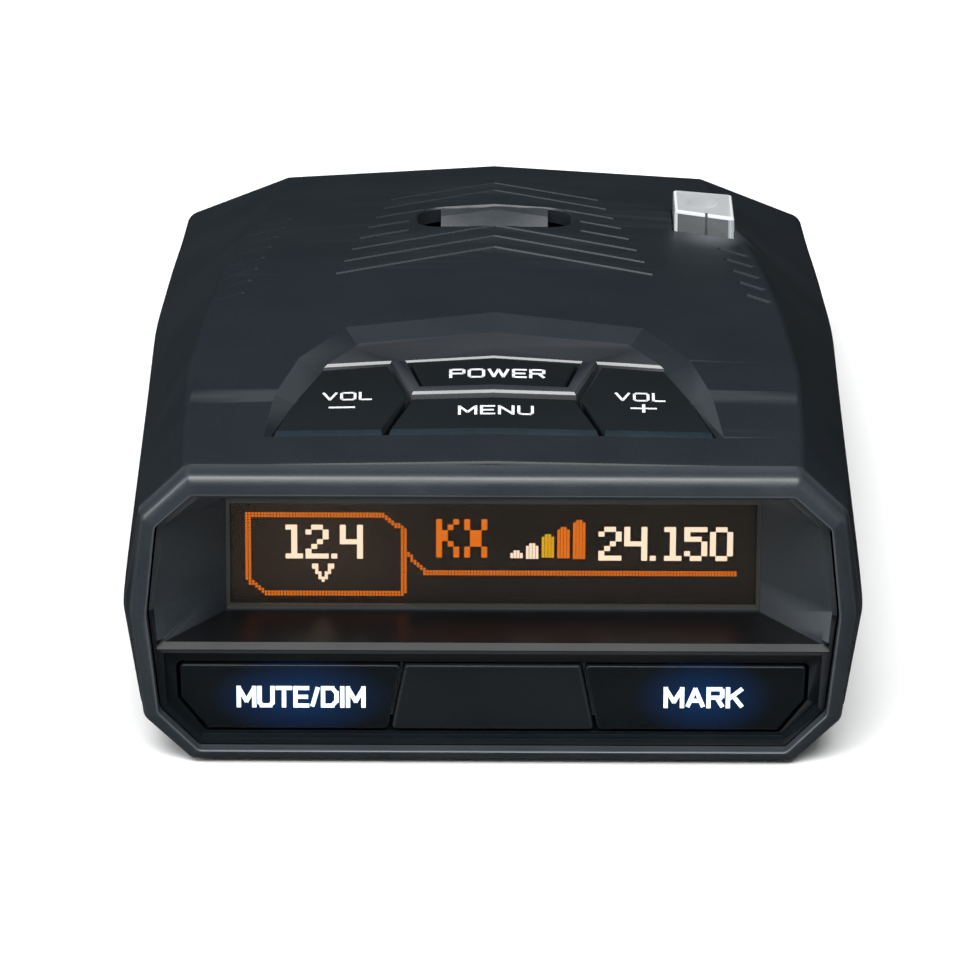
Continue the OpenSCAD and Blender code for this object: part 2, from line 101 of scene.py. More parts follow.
pitch = curve([[0, 0.018], [58, 0.043], [108, 0.075]])
x_panel = curve([[0, 31.2], [12, 31.5], [22, 31.5], [36, 30.5], [54, 28.6], [66, 27], [78, 25.2], [104, 22.8]])
x_shoulder = curve([[0, 35.9], [10, 36.3], [60, 36.4], [78, 35.7], [95, 34.7], [104, 34.1]])
z_shoulder = curve([[0, 28], [104, 14.3]])
x_bulge = curve([[0, 37.6], [6, 37.8], [30, 37.6], [60, 37.1], [80, 36.1], [104, 34.4]])
z_bulge = curve([[0, 17], [104, 9.5]])
x_lower = curve([[0, 36], [60, 35.6], [104, 33.2]])
x_floor = curve([[0, 31], [60, 30.6], [104, 28.2]])


def roof(x, d):
    return ridge(d) - pitch(d) * abs(x)


def rear_d(z):
    return 103 + (20.7 - z) * 0.24


def fillet(pts, radii, seg=4):
    out, n = [], len(pts)
    for i, p in enumerate(pts):
        r = radii[i] if isinstance(radii, (list, tuple)) else radii
        if r <= 0:
            out.append(tuple(p))
            continue
        p, a, b = Vector(p), Vector(pts[i - 1]), Vector(pts[(i + 1) % n])
        u, v = a - p, b - p
        la, lb = u.length, v.length
        u, v = u / la, v / lb
        ang = math.acos(max(-1, min(1, u.dot(v))))
        if ang > math.pi - 0.02:
            out.extend([tuple(p)] * 0 + [tuple(p + u * 0.02 * (1 - k / seg) + v * 0.02 * k / seg) for k in range(seg + 1)])
            continue
        t = min(r / math.tan(ang / 2), 0.45 * la, 0.45 * lb)
        rr = t * math.tan(ang / 2)
        c = p + (u + v).normalized() * (rr / math.sin(ang / 2))
        p1, p2 = p + u * t - c, p + v * t - c
        a1, a2 = math.atan2(p1.y, p1.x), math.atan2(p2.y, p2.x)
        da = (a2 - a1 + math.pi) % (2 * math.pi) - math.pi
        for k in range(seg + 1):
            q = a1 + da * k / seg
            out.append((c.x + rr * math.cos(q), c.y + rr * math.sin(q)))
    return out


def both(h):
    return [tuple(p) for p in h] + [(-p[0], p[1]) for p in reversed(h)]


def offset(pts, t):
    """Polygon moved inwards by t (either winding)."""
    n = len(pts)
    area = sum(pts[i][0] * pts[(i + 1) % n][1] - pts[(i + 1) % n][0] * pts[i][1] for i in range(n))
    s = 1 if area > 0 else -1
    out = []
    for i in range(n):
        p, a, b = Vector(pts[i]), Vector(pts[i - 1]), Vector(pts[(i + 1) % n])
        e1, e2 = (p - a).normalized(), (b - p).normalized()
        n1, n2 = Vector((-e1.y, e1.x)) * s, Vector((-e2.y, e2.x)) * s
        m = n1 + n2
        k = m.dot(n1)
        out.append(tuple(p + m * (t / max(k, 0.3))))
    return out


def raw(name, verts, faces):
    me = bpy.data.meshes.new(name)
    me.from_pydata([P(*v) for v in verts], [], faces)
    bm = bmesh.new()
    bm.from_mesh(me)
    bmesh.ops.remove_doubles(bm, verts=bm.verts, dist=1e-7)
    bmesh.ops.recalc_face_normals(bm, faces=bm.faces)
    bm.to_mesh(me)
    bm.free()
    ob = bpy.data.objects.new(name, me)
    bpy.context.collection.objects.link(ob)
    return ob


def loft(name, rings, closed=False, caps=True):
    """Rings of equal count, joined by quads; closed joins the last to the first."""
    n = len(rings[0])
    verts = [p for r in rings for p in r]
    faces = []
    m = len(rings)
    for j in range(m if closed else m - 1):
        a, b = j * n, ((j + 1) % m) * n
        faces += [(a + i, a + (i + 1) % n, b + (i + 1) % n, b + i) for i in range(n)]
    if caps and not closed:
        faces.append(tuple(range(n - 1, -1, -1)))
        faces.append(tuple((m - 1) * n + i for i in range(n)))
    return raw(name, verts, faces)


def prism_d(name, pts, d0, d1):
    """x-z outline extruded along the depth."""
    return loft(name, [[(p[0], d0, p[1]) for p in pts], [(p[0], d1, p[1]) for p in pts]])


def prism_z(name, pts, z0, z1):
    """x-d outline extruded upwards."""
    return loft(name, [[(p[0], p[1], z0) for p in pts], [(p[0], p[1], z1) for p in pts]])


def block(name, x0, x1, d0, d1, z0, z1):
    return prism_z(name, [(x0, d0), (x1, d0), (x1, d1), (x0, d1)], z0, z1)


def split_cap(name, rings):
    """Loft whose end faces are split along x = 0, for roofed tops."""
    n = len(rings[0])
    verts = [p for r in rings for p in r]
    faces = []
    for j in range(len(rings) - 1):
        a, b = j * n, (j + 1) * n
        faces += [(a + i, a + (i + 1) % n, b + (i + 1) % n, b + i) for i in range(n)]
    for base in (0, (len(rings) - 1) * n):
        mid = [i for i in range(n) if abs(rings[0][i][0]) < 1e-6]
        if len(mid) == 2:
            i0, i1 = mid
            faces.append(tuple(base + i for i in range(i0, i1 + 1)))
            faces.append(tuple(base + (i % n) for i in range(i1, i0 + n + 1)))
        else:
            faces.append(tuple(base + i for i in range(n)))
    return raw(name, verts, faces)


def bake(ob):
    dg = bpy.context.evaluated_depsgraph_get()
    me = bpy.data.meshes.new_from_object(ob.evaluated_get(dg), preserve_all_data_layers=True, depsgraph=dg)
    ob.modifiers.clear()
    old, ob.data = ob.data, me
    bpy.data.meshes.remove(old)
    return ob


def cut(ob, *cutters, op="DIFFERENCE", keep=False):
    for c in cutters:
        m = ob.modifiers.new("cut", "BOOLEAN")
        m.operation, m.solver, m.object = op, "EXACT", c
        bake(ob)
    if not keep:
        for c in cutters:
            bpy.data.objects.remove(c, do_unlink=True)
    return ob


def joined(name, obs):
    """Several separate meshes as one, for a single cut."""
    bm = bmesh.new()
    for o in obs:
        bm.from_mesh(o.data)
    me = bpy.data.meshes.new(name)
    bm.to_mesh(me)
    bm.free()
    for o in obs:
        bpy.data.objects.remove(o, do_unlink=True)
    ob = bpy.data.objects.new(name, me)
    bpy.context.collection.objects.link(ob)
    return ob


def soften(ob, width, seg=2, angle=30):
    m = ob.modifiers.new("bevel", "BEVEL")
    m.width, m.segments, m.limit_method, m.angle_limit = width / 1000, seg, "ANGLE", math.radians(angle)
    m.use_clamp_overlap, m.miter_outer = True, "MITER_ARC"
    m.harden_normals = False
    return bake(ob)


def done(ob, mat, body="housing", rep=(), sharp=32, weighted=True, crease=None):
    ob.data.materials.clear()
    ob.data.materials.append(mat)
    for p in ob.data.polygons:
        p.material_index = 0
        p.use_smooth = True
    ob.data.set_sharp_from_angle(angle=math.radians(sharp))
    if crease:
        at_ = [crease(v.co.x * 1000, v.co.y * 1000 + HALF, v.co.z * 1000) for v in ob.data.vertices]
        for e in ob.data.edges:
            if at_[e.vertices[0]] and at_[e.vertices[1]]:
                e.use_edge_sharp = True
    if weighted:
        m = ob.modifiers.new("weighted", "WEIGHTED_NORMAL")
        m.keep_sharp, m.weight = True, 60
        bake(ob)
    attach(ob, body)
    if rep:
        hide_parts(*rep)
    return ob


# ------------------------------------------------------------------ materials
def lin(c):
    return tuple((v / 255 / 12.92) if v <= 10 else ((v / 255 + 0.055) / 1.055) ** 2.4 for v in c) + (1.0,)


def material(name, colour, rough=0.5, grain=0.1, bump=0.25, depth=0.02, var=0.12, rvar=0.08, blotch=9.0, metal=0.0,
             edge_wear_and_highlight=None, coat=0.0, spec=0.5, ior=1.5, stretch=(1, 1, 1), scratches=0.0, speck=None, streaks=0.0):
    """Moulded or machined surface: fine grain, slow colour drift, roughness drift, lighter sharp edges (partly edge
    wear, partly painted edge highlight), hairlines.
    """
    m = bpy.data.materials.new(name)
    m.use_nodes = True
    nt = m.node_tree
    nt.nodes.clear()
    N, L = nt.nodes.new, nt.links.new
    out, bs = N("ShaderNodeOutputMaterial"), N("ShaderNodeBsdfPrincipled")
    L(bs.outputs[0], out.inputs[0])
    bs.inputs["Metallic"].default_value = metal
    bs.inputs["IOR"].default_value = ior
    bs.inputs["Specular IOR Level"].default_value = spec
    bs.inputs["Coat Weight"].default_value = coat
    bs.inputs["Coat Roughness"].default_value = 0.06
    tc, mp = N("ShaderNodeTexCoord"), N("ShaderNodeMapping")
    mp.inputs["Scale"].default_value = stretch
    L(tc.outputs["Object"], mp.inputs["Vector"])
    fine, slow = N("ShaderNodeTexNoise"), N("ShaderNodeTexNoise")
    fine.inputs["Scale"].default_value, fine.inputs["Detail"].default_value = 1000.0 / grain / 3, 3
    slow.inputs["Scale"].default_value, slow.inputs["Detail"].default_value = 1000.0 / blotch, 4
    L(mp.outputs[0], fine.inputs["Vector"])
    L(tc.outputs["Object"], slow.inputs["Vector"])
    ramp = N("ShaderNodeMapRange")
    ramp.inputs["From Min"].default_value, ramp.inputs["From Max"].default_value = 0.3, 0.7
    ramp.inputs["To Min"].default_value, ramp.inputs["To Max"].default_value = 1 - var, 1 + var
    L(slow.outputs["Fac"], ramp.inputs["Value"])
    ramp2 = N("ShaderNodeMapRange")
    ramp2.inputs["From Min"].default_value, ramp2.inputs["From Max"].default_value = 0.3, 0.7
    ramp2.inputs["To Min"].default_value, ramp2.inputs["To Max"].default_value = 1 - var, 1 + var
    L(fine.outputs["Fac"], ramp2.inputs["Value"])
    mul = N("ShaderNodeMath")
    mul.operation = "MULTIPLY"
    L(ramp.outputs[0], mul.inputs[0])
    L(ramp2.outputs[0], mul.inputs[1])
    col = N("ShaderNodeVectorMath")
    col.operation = "SCALE"
    col.inputs[0].default_value = lin(colour)[:3]
    L(mul.outputs[0], col.inputs["Scale"])
    last = col.outputs[0]
    if speck:
        vor = N("ShaderNodeTexVoronoi")
        vor.inputs["Scale"].default_value = 1000.0 / speck[1]
        L(tc.outputs["Object"], vor.inputs["Vector"])
        sm = N("ShaderNodeMapRange")
        sm.inputs["From Min"].default_value, sm.inputs["From Max"].default_value = 0.0, 0.22
        sm.inputs["To Min"].default_value, sm.inputs["To Max"].default_value = 1, 0
        L(vor.outputs["Distance"], sm.inputs["Value"])
        mx = N("ShaderNodeMix")
        mx.data_type = "RGBA"
        mx.inputs["B"].default_value = lin(speck[0])
        L(sm.outputs[0], mx.inputs["Factor"])
        L(last, mx.inputs["A"])
        last = mx.outputs["Result"]
    # lighter colour on sharp convex edges, found by pointiness: partly edge wear, partly painted edge highlight
    if edge_wear_and_highlight:
        geo = N("ShaderNodeNewGeometry")
        wm = N("ShaderNodeMapRange")
        wm.inputs["From Min"].default_value, wm.inputs["From Max"].default_value = 0.52, 0.62
        wm.inputs["To Max"].default_value = edge_wear_and_highlight[1]
        L(geo.outputs["Pointiness"], wm.inputs["Value"])
        mx = N("ShaderNodeMix")
        mx.data_type = "RGBA"
        mx.inputs["B"].default_value = lin(edge_wear_and_highlight[0])
        L(wm.outputs[0], mx.inputs["Factor"])
        L(last, mx.inputs["A"])
        last = mx.outputs["Result"]
    L(last, bs.inputs["Base Color"])
    rr = N("ShaderNodeMapRange")
    rr.inputs["From Min"].default_value, rr.inputs["From Max"].default_value = 0.3, 0.7
    rr.inputs["To Min"].default_value, rr.inputs["To Max"].default_value = max(0.02, rough - rvar), min(1, rough + rvar)
    L(slow.outputs["Fac"], rr.inputs["Value"])
    L(rr.outputs[0], bs.inputs["Roughness"])
    bp = N("ShaderNodeBump")
    bp.inputs["Strength"].default_value, bp.inputs["Distance"].default_value = bump, depth / 1000
    h = fine.outputs["Fac"]
    if scratches or streaks:
        sc, sp = N("ShaderNodeTexNoise"), N("ShaderNodeMapping")
        sp.inputs["Scale"].default_value = (1, 24, 24) if scratches else (24, 1, 24)
        sp.inputs["Rotation"].default_value = (0, 0, 0.3 if scratches else 0)
        sc.inputs["Scale"].default_value, sc.inputs["Detail"].default_value = 60, 2
        L(tc.outputs["Object"], sp.inputs["Vector"])
        L(sp.outputs[0], sc.inputs["Vector"])
        ad = N("ShaderNodeMath")
        ad.operation = "MULTIPLY_ADD"
        ad.inputs[1].default_value = scratches or streaks
        L(sc.outputs["Fac"], ad.inputs[0])
        L(h, ad.inputs[2])
        h = ad.outputs[0]
    L(h, bp.inputs["Height"])
    L(bp.outputs[0], bs.inputs["Normal"])
    return m


def glow(m, colour, strength, centre=None, reach=(10, 10, 10), power=1.6):
    """Adds emission to a material, falling off around a point of the object where one is given: the lit labels' own
    light, and painted light on the cover, the front key caps and the display panel.
    """
    nt = m.node_tree
    N, L = nt.nodes.new, nt.links.new
    bs = next(n for n in nt.nodes if n.type == "BSDF_PRINCIPLED")
    bs.inputs["Emission Color"].default_value = colour + (1.0,)
    if centre is None:
        bs.inputs["Emission Strength"].default_value = strength
        return m
    tc, mp, ln = N("ShaderNodeTexCoord"), N("ShaderNodeMapping"), N("ShaderNodeVectorMath")
    c = P(*centre)
    mp.inputs["Location"].default_value = [-c[i] * 1000 / reach[i] for i in range(3)]
    mp.inputs["Scale"].default_value = [1000 / r for r in reach]
    L(tc.outputs["Object"], mp.inputs["Vector"])
    ln.operation = "LENGTH"
    L(mp.outputs[0], ln.inputs[0])
    mr, pw, ml = N("ShaderNodeMapRange"), N("ShaderNodeMath"), N("ShaderNodeMath")
    mr.inputs["From Min"].default_value, mr.inputs["From Max"].default_value = 0, 1
    mr.inputs["To Min"].default_value, mr.inputs["To Max"].default_value = 1, 0
    L(ln.outputs["Value"], mr.inputs["Value"])
    pw.operation, ml.operation = "POWER", "MULTIPLY"
    pw.inputs[1].default_value, ml.inputs[1].default_value = power, strength
    L(mr.outputs[0], pw.inputs[0])
    L(pw.outputs[0], ml.inputs[0])
    L(ml.outputs[0], bs.inputs["Emission Strength"])
    return m


M = {}
M["shell"] = material("shell_plastic", (21, 27, 32), rough=0.46, rvar=0.03, grain=0.12, bump=0.35, depth=0.03, var=0.05,
                      edge_wear_and_highlight=((74, 78, 82), 0.35), speck=((40, 46, 52), 0.35))
# painted light: a soft white emission on the cover in front of the clear sensor block, standing in for light the lens
# throws onto the cover
glow(M["shell"], (0.9, 0.95, 1.0), 0.5, (23.2, 67.2, 25.2), (5.4, 8.0, 6.0), 1.7)
# lighter copy of the cover plastic for the pad's rear wall: painted light
M["wall"] = material("shell_plastic_wall_painted_light", (28, 34, 40), rough=0.46, rvar=0.03, grain=0.12, bump=0.3, depth=0.03, var=0.05)
M["shell_low"] = material("shell_plastic_low", (24, 28, 33), rough=0.52, grain=0.12, bump=0.4, depth=0.03,
                          edge_wear_and_highlight=((66, 70, 74), 0.3), speck=((36, 41, 46), 0.35))
# base colour lighter than the cover plastic: painted light on the rim
M["rim"] = material("rim_plastic_painted_light", (34, 40, 45), rough=0.36, grain=0.10, bump=0.22, depth=0.02, edge_wear_and_highlight=((124, 127, 130), 0.5))
# lighter copies of the hood plastic for its inner side walls, upper and lower: painted light
M["hood_wall_painted_light"] = material("hood_wall_painted_light", (38, 43, 47), rough=0.42, grain=0.14, bump=0.3, depth=0.02, edge_wear_and_highlight=((90, 94, 98), 0.3))
M["hood_low"] = material("hood_wall_low", (40, 46, 51), rough=0.42, grain=0.14, bump=0.3, depth=0.02, edge_wear_and_highlight=((100, 104, 108), 0.3))
M["shelf"] = material("hood_shelf", (9, 11, 13), rough=0.36, rvar=0.04, grain=0.14, bump=0.06, depth=0.01)
M["hood"] = material("hood_plastic", (11, 17, 21), rough=0.36, spec=0.3, grain=0.14, bump=0.25, depth=0.02, edge_wear_and_highlight=((60, 60, 62), 0.3))
M["tongue"] = material("tongue_plastic", (52, 56, 60), rough=0.42, grain=0.12, bump=0.25, depth=0.02, edge_wear_and_highlight=((150, 152, 154), 0.4))
M["keyframe"] = material("frame_gloss", (27, 31, 36), rough=0.22, grain=0.18, bump=0.12, depth=0.015, edge_wear_and_highlight=((120, 122, 126), 0.5), coat=0.4)
M["key"] = material("key_plastic", (9, 13, 16), rough=0.16, grain=0.25, bump=0.06, depth=0.01, coat=0.6, edge_wear_and_highlight=((60, 66, 72), 0.35), scratches=0.3)
# lighter copy of the key plastic for the keys' front chamfers: painted highlight
M["key_lip"] = material("key_lip_painted_highlight", (26, 36, 42), rough=0.3, grain=0.25, bump=0.06, depth=0.01, coat=0.3, scratches=0.3)
M["panel"] = material("panel_plastic", (9, 15, 18), rough=0.36, spec=0.28, grain=0.16, bump=0.4, depth=0.03, speck=((20, 26, 30), 0.3),
                      edge_wear_and_highlight=((90, 92, 96), 0.4))
M["ink"] = material("label_ink", (225, 229, 233), rough=0.55, grain=0.12, bump=0.1, depth=0.01, var=0.04, blotch=3)
M["lit_ink"] = glow(material("label_lit", (215, 228, 240), rough=0.5, grain=0.12, bump=0.1, depth=0.01, var=0.05, blotch=3),
                    (0.78, 0.9, 1.0), 0.55)
# painted light: blue emission on the front key caps, strongest around the labels
M["mute"] = glow(material("key_left_painted_blue_glow", (4, 8, 10), rough=0.24, grain=0.2, bump=0.08, depth=0.01, coat=0.05, spec=0.25,
                          edge_wear_and_highlight=((66, 72, 80), 0.4), scratches=0.3), (0.0, 0.22, 0.95), 0.10, (-19.6, 2.2, 6.7), (9.6, 9, 4.6), 1.1)
M["mark"] = glow(material("key_right_painted_blue_glow", (4, 8, 10), rough=0.24, grain=0.2, bump=0.08, depth=0.01, coat=0.05, spec=0.25,
                          edge_wear_and_highlight=((66, 72, 80), 0.4), scratches=0.3), (0.0, 0.22, 0.95), 0.10, (21.6, 2.2, 6.8), (7.4, 9, 4.6), 1.1)
M["rubber"] = material("silicone", (140, 142, 146), rough=0.62, grain=0.3, bump=0.15, var=0.05)
M["foam"] = material("foam_black", (16, 16, 17), rough=0.9, grain=0.35, bump=0.9, depth=0.08)
M["board"] = material("circuit_board", (10, 62, 34), rough=0.35, grain=0.5, bump=0.2, depth=0.02, speck=((150, 140, 80), 2.6), coat=0.3)
M["board_blue"] = material("circuit_board_blue", (14, 40, 70), rough=0.35, grain=0.5, bump=0.2, depth=0.02, speck=((170, 160, 96), 2.4), coat=0.3)
M["flex"] = material("polyimide", (176, 104, 30), rough=0.3, grain=0.6, bump=0.1, streaks=0.6, coat=0.3)
M["black"] = material("black_component", (20, 20, 21), rough=0.45, grain=0.15, bump=0.3, depth=0.02, edge_wear_and_highlight=((70, 70, 72), 0.3))
M["led"] = material("led_lens", (224, 226, 214), rough=0.2, grain=0.4, bump=0.05, var=0.05, coat=0.5)
M["cast"] = material("cast_metal", (166, 168, 171), rough=0.38, grain=0.25, bump=0.35, depth=0.03, metal=1.0, var=0.06)
M["tin"] = material("tin_plate", (198, 199, 200), rough=0.26, grain=0.6, bump=0.12, metal=1.0, var=0.05, scratches=0.8)
M["ceramic"] = material("antenna_ceramic", (196, 176, 134), rough=0.6, grain=0.3, bump=0.3, var=0.08)
M["wire"] = material("wire_red", (150, 24, 20), rough=0.4, grain=0.4, bump=0.1)
M["steel"] = material("screw_steel", (120, 122, 126), rough=0.3, grain=0.25, bump=0.15, metal=1.0, var=0.08, scratches=0.6)
M["spring"] = material("spring_steel", (188, 190, 193), rough=0.24, grain=0.3, bump=0.1, metal=1.0, var=0.05, streaks=0.8)
M["label"] = material("label_film", (168, 168, 163), rough=0.48, grain=0.3, bump=0.12, var=0.05, blotch=6, speck=((120, 120, 116), 1.6))
M["socket"] = material("socket_metal", (176, 177, 180), rough=0.3, grain=0.3, bump=0.1, metal=1.0, var=0.06)
M["dispframe"] = material("frame_plastic", (66, 64, 60), rough=0.35, grain=0.15, bump=0.2, edge_wear_and_highlight=((110, 108, 100), 0.4))


def clear(name, tint, body=0.0, rough=0.03, grain=0.5, top=None):
    """Clear or tinted moulding: light passes through, and the surface shines with fine unevenness. Where top is given,
    faces turned upwards get more of the pale opaque layer: painted light on the top.
    """
    m = bpy.data.materials.new(name)
    m.use_nodes = True
    nt = m.node_tree
    nt.nodes.clear()
    N, L = nt.nodes.new, nt.links.new
    out, tr, gl, fr, mx = (N("ShaderNodeOutputMaterial"), N("ShaderNodeBsdfTransparent"), N("ShaderNodeBsdfPrincipled"),
                           N("ShaderNodeFresnel"), N("ShaderNodeMixShader"))
    tr.inputs[0].default_value = tint
    gl.inputs["Base Color"].default_value = tint
    tc, nz, bp, rr = N("ShaderNodeTexCoord"), N("ShaderNodeTexNoise"), N("ShaderNodeBump"), N("ShaderNodeMapRange")
    nz.inputs["Scale"].default_value = 1000 / grain
    L(tc.outputs["Object"], nz.inputs["Vector"])
    bp.inputs["Strength"].default_value, bp.inputs["Distance"].default_value = 0.08, 0.00002
    L(nz.outputs["Fac"], bp.inputs["Height"])
    L(bp.outputs[0], gl.inputs["Normal"])
    rr.inputs["To Min"].default_value, rr.inputs["To Max"].default_value = rough, rough + 0.08
    L(nz.outputs["Fac"], rr.inputs["Value"])
    L(rr.outputs[0], gl.inputs["Roughness"])
    fr.inputs["IOR"].default_value = 1.5
    ad = N("ShaderNodeMath")
    ad.operation = "MULTIPLY_ADD"
    ad.inputs[1].default_value, ad.inputs[2].default_value = 1.0, body
    ad.use_clamp = True
    L(fr.outputs[0], ad.inputs[0])
    # painted light: the more a face points up, the more pale opaque layer it gets, so the top reads bright
    if top:
        geo, sp, mr = N("ShaderNodeNewGeometry"), N("ShaderNodeSeparateXYZ"), N("ShaderNodeMapRange")
        L(geo.outputs["Normal"], sp.inputs[0])
        mr.inputs["From Min"].default_value, mr.inputs["From Max"].default_value = 0.3, 0.95
        mr.inputs["To Min"].default_value, mr.inputs["To Max"].default_value = body, top
        L(sp.outputs[2], mr.inputs["Value"])
        pm, pa = N("ShaderNodeMapRange"), N("ShaderNodeMath")
        pm.inputs["From Min"].default_value, pm.inputs["From Max"].default_value = 0.52, 0.60
        pm.inputs["To Max"].default_value = 0.0
        L(geo.outputs["Pointiness"], pm.inputs["Value"])
        L(mr.outputs[0], pa.inputs[0])
        L(pm.outputs[0], pa.inputs[1])
        L(pa.outputs[0], ad.inputs[2])
    L(ad.outputs[0], mx.inputs[0])
    L(tr.outputs[0], mx.inputs[1])
    L(gl.outputs[0], mx.inputs[2])
    L(mx.outputs[0], out.inputs[0])
    return m


M["glass"] = clear("display_glass", (0.62, 0.55, 0.48, 1), body=0.0)
# the sensor block, with its top painted bright
M["lens"] = clear("clear_lens", (0.93, 0.95, 0.97, 1), body=0.05, rough=0.05, top=0.24)
# almost opaque pale copy for the block's chamfers and small faces: painted highlight on its edges
M["lens_edge"] = clear("clear_lens_edge_painted_highlight", (0.95, 0.97, 1.0, 1), body=0.62, rough=0.05)
M["red"] = clear("red_filter", (0.25, 0.01, 0.02, 1), body=0.35, rough=0.08)


def screen_material(name, colour, strength, pitch_x=0.323, pitch_z=0.30, gap=0.28, floor=0.25):
    """Emissive dots on a fixed grid of the panel."""
    m = bpy.data.materials.new(name)
    m.use_nodes = True
    nt = m.node_tree
    nt.nodes.clear()
    N, L = nt.nodes.new, nt.links.new
    out, bs = N("ShaderNodeOutputMaterial"), N("ShaderNodeBsdfPrincipled")
    L(bs.outputs[0], out.inputs[0])
    bs.inputs["Base Color"].default_value = (0.02, 0.018, 0.015, 1)
    bs.inputs["Roughness"].default_value = 0.5
    bs.inputs["Emission Color"].default_value = colour + (1.0,)
    tc, sp = N("ShaderNodeTexCoord"), N("ShaderNodeSeparateXYZ")
    L(tc.outputs["Object"], sp.inputs[0])
    parts = []
    for axis, p in ((0, pitch_x), (2, pitch_z)):
        sc, fr, ab, mr = N("ShaderNodeMath"), N("ShaderNodeMath"), N("ShaderNodeMath"), N("ShaderNodeMapRange")
        sc.operation, fr.operation, ab.operation = "MULTIPLY", "PINGPONG", "MULTIPLY"
        sc.inputs[1].default_value = 1000 / p
        fr.inputs[1].default_value = 0.5
        L(sp.outputs[axis], sc.inputs[0])
        L(sc.outputs[0], fr.inputs[0])
        ab.inputs[1].default_value = 2.0
        L(fr.outputs[0], ab.inputs[0])
        mr.inputs["From Min"].default_value, mr.inputs["From Max"].default_value = gap * 0.4, gap * 1.6
        L(ab.outputs[0], mr.inputs["Value"])
        parts.append(mr.outputs[0])
    mul, fl, st = N("ShaderNodeMath"), N("ShaderNodeMapRange"), N("ShaderNodeMath")
    mul.operation, st.operation = "MULTIPLY", "MULTIPLY"
    L(parts[0], mul.inputs[0])
    L(parts[1], mul.inputs[1])
    fl.inputs["To Min"].default_value = floor
    L(mul.outputs[0], fl.inputs["Value"])
    st.inputs[1].default_value = strength
    L(fl.outputs[0], st.inputs[0])
    L(st.outputs[0], bs.inputs["Emission Strength"])
    return m


M["dot_white"] = screen_material("dots_white", (1.0, 0.97, 0.92), 3.0, gap=0.02, floor=0.8)
M["dot_orange"] = screen_material("dots_orange", (1.0, 0.27, 0.0), 2.1, gap=0.02, floor=0.8)
M["dot_yellow"] = screen_material("dots_yellow", (1.0, 0.68, 0.0), 2.0, gap=0.02, floor=0.8)


# ------------------------------------------------------------------ the two covers
def section(d, t):
    top = [(0, ridge(d) - t), (x_panel(d) - 0.5 * t, roof(x_panel(d), d) - t), (x_shoulder(d) - 0.95 * t, z_shoulder(d) - 0.45 * t),
           (x_bulge(d) - t, z_bulge(d)), (x_lower(d) - 0.95 * t, 5 + 0.45 * t), (x_floor(d) - 0.45 * t, t), (0, t)]
    pts = top + [(-x, z) for x, z in reversed(top[1:-1])]
    if t > 1.2:
        return pts
    r = [0, 0.9, 1.6, 5, 2.4, 1.6, 0, 1.6, 2.4, 5, 1.6, 0.9]
    return fillet(pts, r, 4)


def housing(name, t, d0, cuts, back):
    rings = []
    for u, extra in cuts:
        rings.append([(x, u if u <= 96 else 96 + (rear_d(z) - back - 96) * (u - 96) / 7.0, z) for x, z in section(u, t + extra)])
    return loft(name, rings)


front = [(3.42, 0.22), (3.5, 0.09), (3.66, 0.0)]
mid = [(4.4 + 1.7 * i, 0.0) for i in range(54)]
rear = [(u, 0.0) for u in (97.2, 98.6, 100, 101.2, 102.2)] + [(102.6, 0.06), (102.82, 0.2), (102.95, 0.42), (103.0, 0.62)]
shell = housing("shell", 0.0, 3.4, front + [m for m in mid if m[0] < 96.5] + rear, 0.0)
core = housing("core", 1.7, 2.0, [(u, 0.0) for u in (2.2, 6, 12, 20, 30, 42, 54, 66, 78, 90, 96, 103.0)], 1.7)
cut(shell, core)
lower = bpy.data.objects.new("lower", shell.data.copy())
bpy.context.collection.objects.link(lower)
cut(shell, block("b", -60, 60, -20, 140, -5, 12.68))
cut(lower, block("b", -60, 60, -20, 140, 12.54, 60))

# pad recess: sloped walls behind and beside the keys
pad = [(0, 35.1), (14.2, 32), (17.9, 24.9), (20.5, 17.9), (23, 9.1)]
top_line = [(0, 38.3), (15.5, 35.1), (20.2, 27), (22.4, 18), (23.45, 8.95)]


def mirrored(h):
    return [tuple(p) for p in h] + [(-p[0], p[1]) for p in reversed(h) if abs(p[0]) > 1e-6]


pad_o, top_o = mirrored(pad), mirrored(top_line)
wide_o = [(b[0] + 2.2 * (a[0] - b[0]), b[1] + 2.2 * (a[1] - b[1])) for a, b in zip(top_o, pad_o)]
cut(shell, loft("c", [[(x, d, 24) for x, d in pad_o], [(x, d, 32.42) for x, d in pad_o],
                      [(x, d, roof(x, d)) for x, d in top_o], [(p[0], p[1], 32.42 + 2.2 * (roof(*q) - 32.42)) for p, q in zip(wide_o, top_o)],
                      [(x, d, 40) for x, d in wide_o]]))


def groove(i):
    d0 = 89.7 - 4.3 * i
    s = 0.46 + 0.0047 * (d0 - 59.6)
    x1 = 11.3 + 0.78 * i
    prof = [(-0.30, 0.9), (-0.30, -0.5), (-0.04, -0.5), (0.34, -0.02), (0.95, 0.75)]

    def strip(xs):
        rings = []
        for x in xs:
            dd = d0 - s * abs(x)
            rings.append([(x, dd + c, roof(x, dd + c) + z) for c, z in prof])
        return loft("g", rings)
    if i in (2, 3, 4):
        x0 = {2: 7.6, 3: 9.2, 4: 9.2}[i]
        n = 5
        xs = [x0 + (x1 - x0) * k / n for k in range(n + 1)]
        return [strip(xs), strip([-x for x in reversed(xs)])]
    n = 6
    xs = [x1 * k / n for k in range(-n, n + 1)]
    return [strip(xs)]


